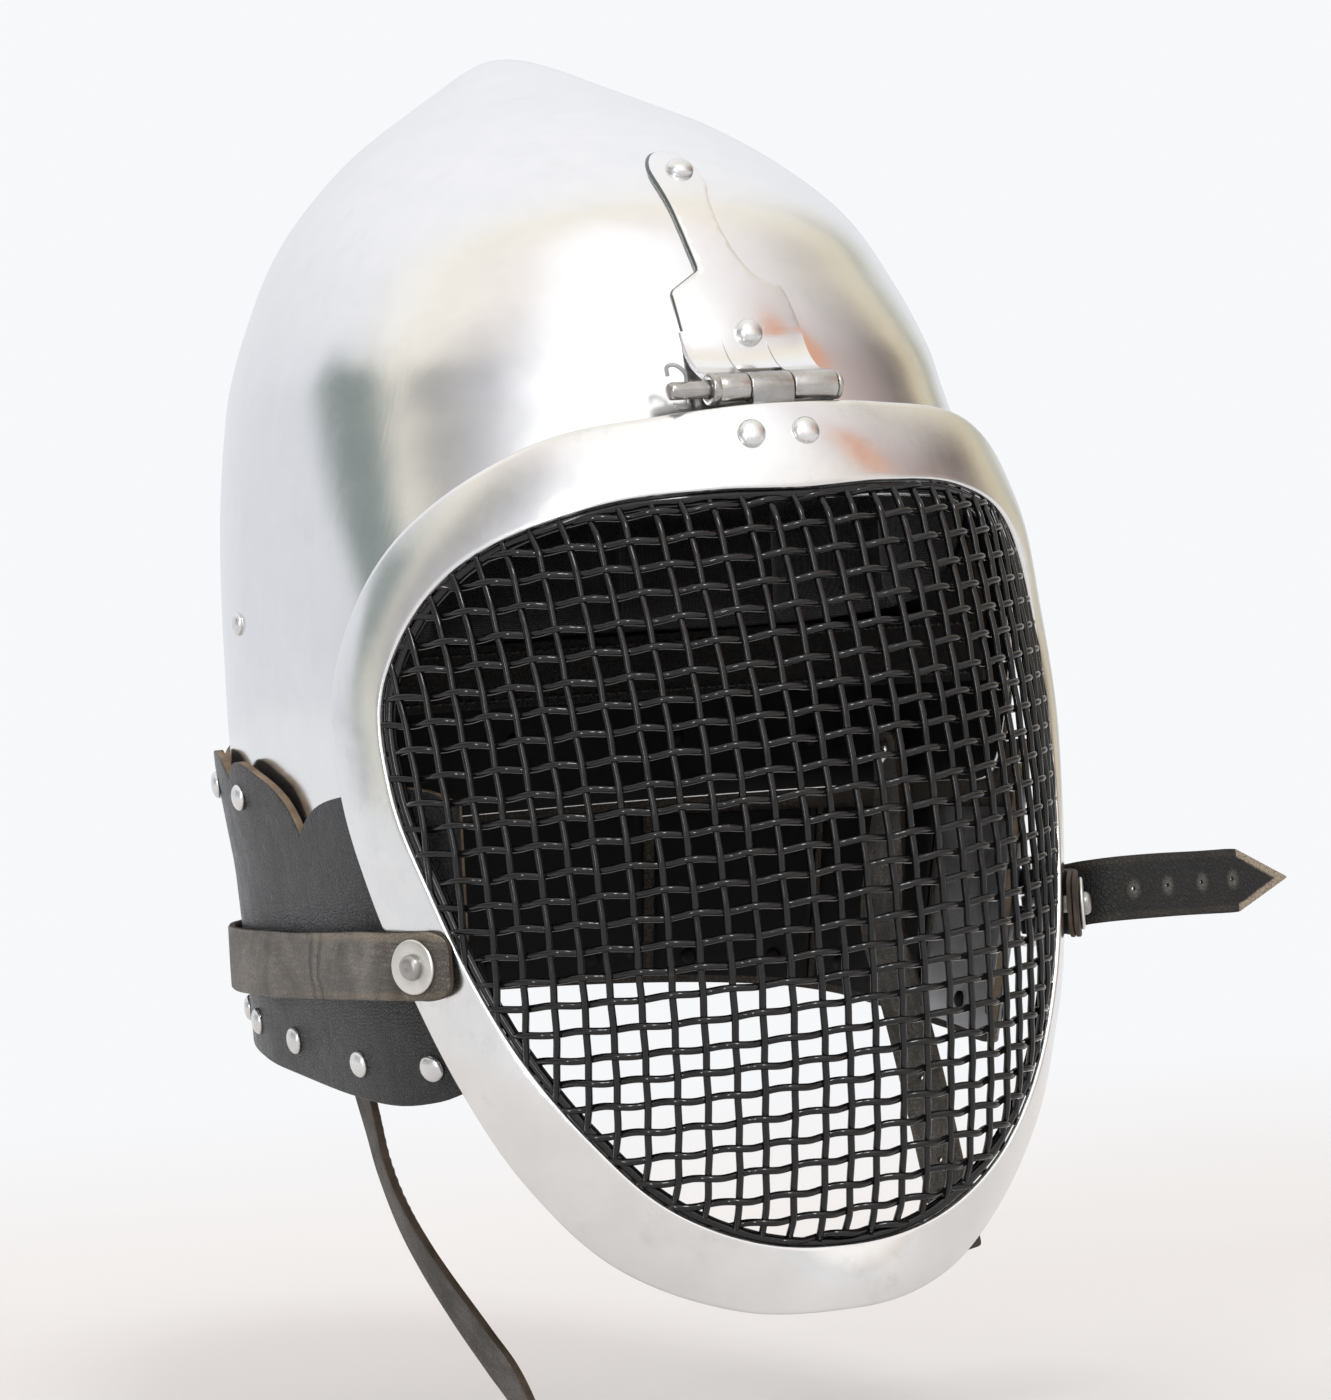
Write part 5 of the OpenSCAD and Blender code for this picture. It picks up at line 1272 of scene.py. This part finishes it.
# ---------------------------------------------------------------- floor, light and surroundings
z_floor = float(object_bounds()[0][2]) - 0.0006
me = bpy.data.meshes.new("floor")
R, n = 9.0, 96
ringv = [(R * math.cos(2 * math.pi * i / n), R * math.sin(2 * math.pi * i / n), z_floor) for i in range(n)]
me.from_pydata(ringv, [], [tuple(range(n))])
floor = bpy.data.objects.new("floor", me)
bpy.context.scene.collection.objects.link(floor)
F = Mat("floor")
dist = F.node("VectorMath", {0: F.tc.outputs["Object"]}, operation="LENGTH").outputs["Value"]
fade = F.node("MapRange", {"Value": dist, "From Min": 0.40, "From Max": 1.5}, interpolation_type="SMOOTHSTEP").outputs[0]
F.set(Roughness=0.9, Specular_IOR_Level=0.2)
F.link(Base_Color=F.mix(F.ramp(F.noise(1.5, 3.0), (0.3, 0.0), (0.7, 1.0)), (0.69, 0.668, 0.655), (0.72, 0.705, 0.697)))
far = F.node("Emission", {"Color": (0.93, 0.94, 0.96, 1), "Strength": 1.0})
blend = F.node("MixShader", {0: fade})
F.t.links.new(F.b.outputs[0], blend.inputs[1])
F.t.links.new(far.outputs[0], blend.inputs[2])
F.t.links.new(blend.outputs[0], F.t.nodes["Material Output"].inputs["Surface"])
me.materials.append(F.m)
floor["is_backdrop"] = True

world = bpy.data.worlds.new("studio")
bpy.context.scene.world = world
world.use_nodes = True
W = Mat.__new__(Mat)
W.t = world.node_tree
W.b = W.t.nodes["Background"]
W.tc = W.t.nodes.new("ShaderNodeTexCoord")
sep = W.node("SeparateXYZ", {0: W.tc.outputs["Generated"]})
dx, dy, dz = sep.outputs
# the room by height and depth: t = y + z / 2, one side warmer than the other
t = W.range(W.math("MULTIPLY_ADD", dz, 0.5, dy), -1.2, 1.2, 0.0, 1.0)


def stops(rows):
    return [((a + 1.2) / 2.4, c) for a, c in rows]


low_a = W.ramp(t, *stops([(-1, (0.68, 0.66, 0.66)), (-0.45, (1.0, 1.0, 1.04)), (-0.3, (0.90, 0.90, 0.95)), (-0.16, (0.74, 0.74, 0.78)), (-0.03, (0.58, 0.57, 0.59)), (0.13, (0.50, 0.49, 0.48)),
                          (0.25, (0.55, 0.53, 0.50)), (0.36, (0.82, 0.79, 0.70)), (0.50, (0.80, 0.78, 0.71)), (0.58, (0.55, 0.57, 0.54)), (0.64, (0.45, 0.48, 0.46)), (0.69, (0.74, 0.75, 0.77)),
                          (0.8, (0.83, 0.84, 0.89)), (1.1, (0.87, 0.88, 0.92))]))
low_b = W.ramp(t, *stops([(-1, (0.68, 0.66, 0.66)), (-0.6, (1.0, 0.92, 0.85)), (-0.36, (0.70, 0.64, 0.61)), (-0.13, (0.48, 0.38, 0.35)), (0.05, (0.36, 0.29, 0.27)), (0.21, (0.22, 0.185, 0.17)),
                          (0.33, (0.36, 0.31, 0.25)), (0.44, (0.74, 0.64, 0.46)), (0.57, (0.76, 0.70, 0.55)), (0.62, (0.45, 0.45, 0.38)), (0.68, (0.62, 0.62, 0.56)), (0.8, (0.84, 0.85, 0.88))]))
high = W.ramp(t, *stops([(-0.5, (1.2, 1.2, 1.2)), (0, (1.2, 1.17, 1.19)), (0.25, (1.15, 1.08, 1.02)), (0.45, (1.12, 1.07, 0.96)), (0.62, (1.15, 1.13, 1.10)), (0.8, (1.13, 1.13, 1.16))]))
side = W.node("MapRange", {"Value": dx, "From Min": -0.10, "From Max": 0.35}, interpolation_type="SMOOTHSTEP").outputs[0]
# the height where the low part of the room turns into the lit ceiling
z_lo = W.mix(side, W.ramp(t, *stops([(-1, 0.5), (0.2, 0.5), (0.45, 0.42), (0.62, 0.42), (0.70, 0.0)])), W.ramp(t, *stops([(-1, 0.25), (0.6, 0.25), (0.7, 0.0)])))
z_hi = W.mix(side, W.ramp(t, *stops([(-1, 0.95), (0.2, 0.95), (0.45, 0.68), (0.62, 0.68), (0.70, 0.95)])), (0.95, 0.95, 0.95))
lift = W.math("DIVIDE", W.math("SUBTRACT", dz, z_lo), W.math("SUBTRACT", z_hi, z_lo))
lift = W.node("MapRange", {"Value": lift}, interpolation_type="SMOOTHSTEP").outputs[0]
room = W.mix(lift, W.mix(side, low_a, low_b), high)
az = W.math("MULTIPLY", W.math("ARCTAN2", dx, W.math("MULTIPLY", dy, -1.0)), 57.29578)
el = W.math("MULTIPLY", W.math("ARCSINE", dz), 57.29578)


def card(col, a0, e0, ha, he, strength, colour, soft=0.25, p=3.0):
    u = W.math("POWER", W.math("ABSOLUTE", W.math("DIVIDE", W.math("SUBTRACT", az, a0), ha)), p)
    v = W.math("POWER", W.math("ABSOLUTE", W.math("DIVIDE", W.math("SUBTRACT", el, e0), he)), p)
    r = W.math("POWER", W.math("ADD", u, v), 1 / p)
    m = W.node("MapRange", {"Value": r, "From Min": 1 - soft, "From Max": 1 + soft, "To Min": 1.0, "To Max": 0.0}, interpolation_type="SMOOTHSTEP").outputs[0]
    return W.mix(m, col, tuple(c * strength for c in colour))


room = card(room, -117, 21, 13, 9, 1.0, (0.30, 0.345, 0.335), soft=0.55)
room = card(room, -8, 42, 39, 34, 1.42, (1, 1, 1), soft=0.54)
room = card(room, -8, 45, 6, 6, 30, (1, 1, 1), soft=0.4)
room = card(room, -46, 13, 1.9, 14, 20, (1, 1, 1), soft=0.5)
room = card(room, 57, 31, 7, 9, 1.0, (0.85, 0.45, 0.30), soft=0.35)
ray = W.node("LightPath")
view = W.mix(ray.outputs["Is Camera Ray"], room, (0.93, 0.94, 0.96))
W.t.links.new(view, W.b.inputs["Color"])
W.b.inputs["Strength"].default_value = 1.0

lo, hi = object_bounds()
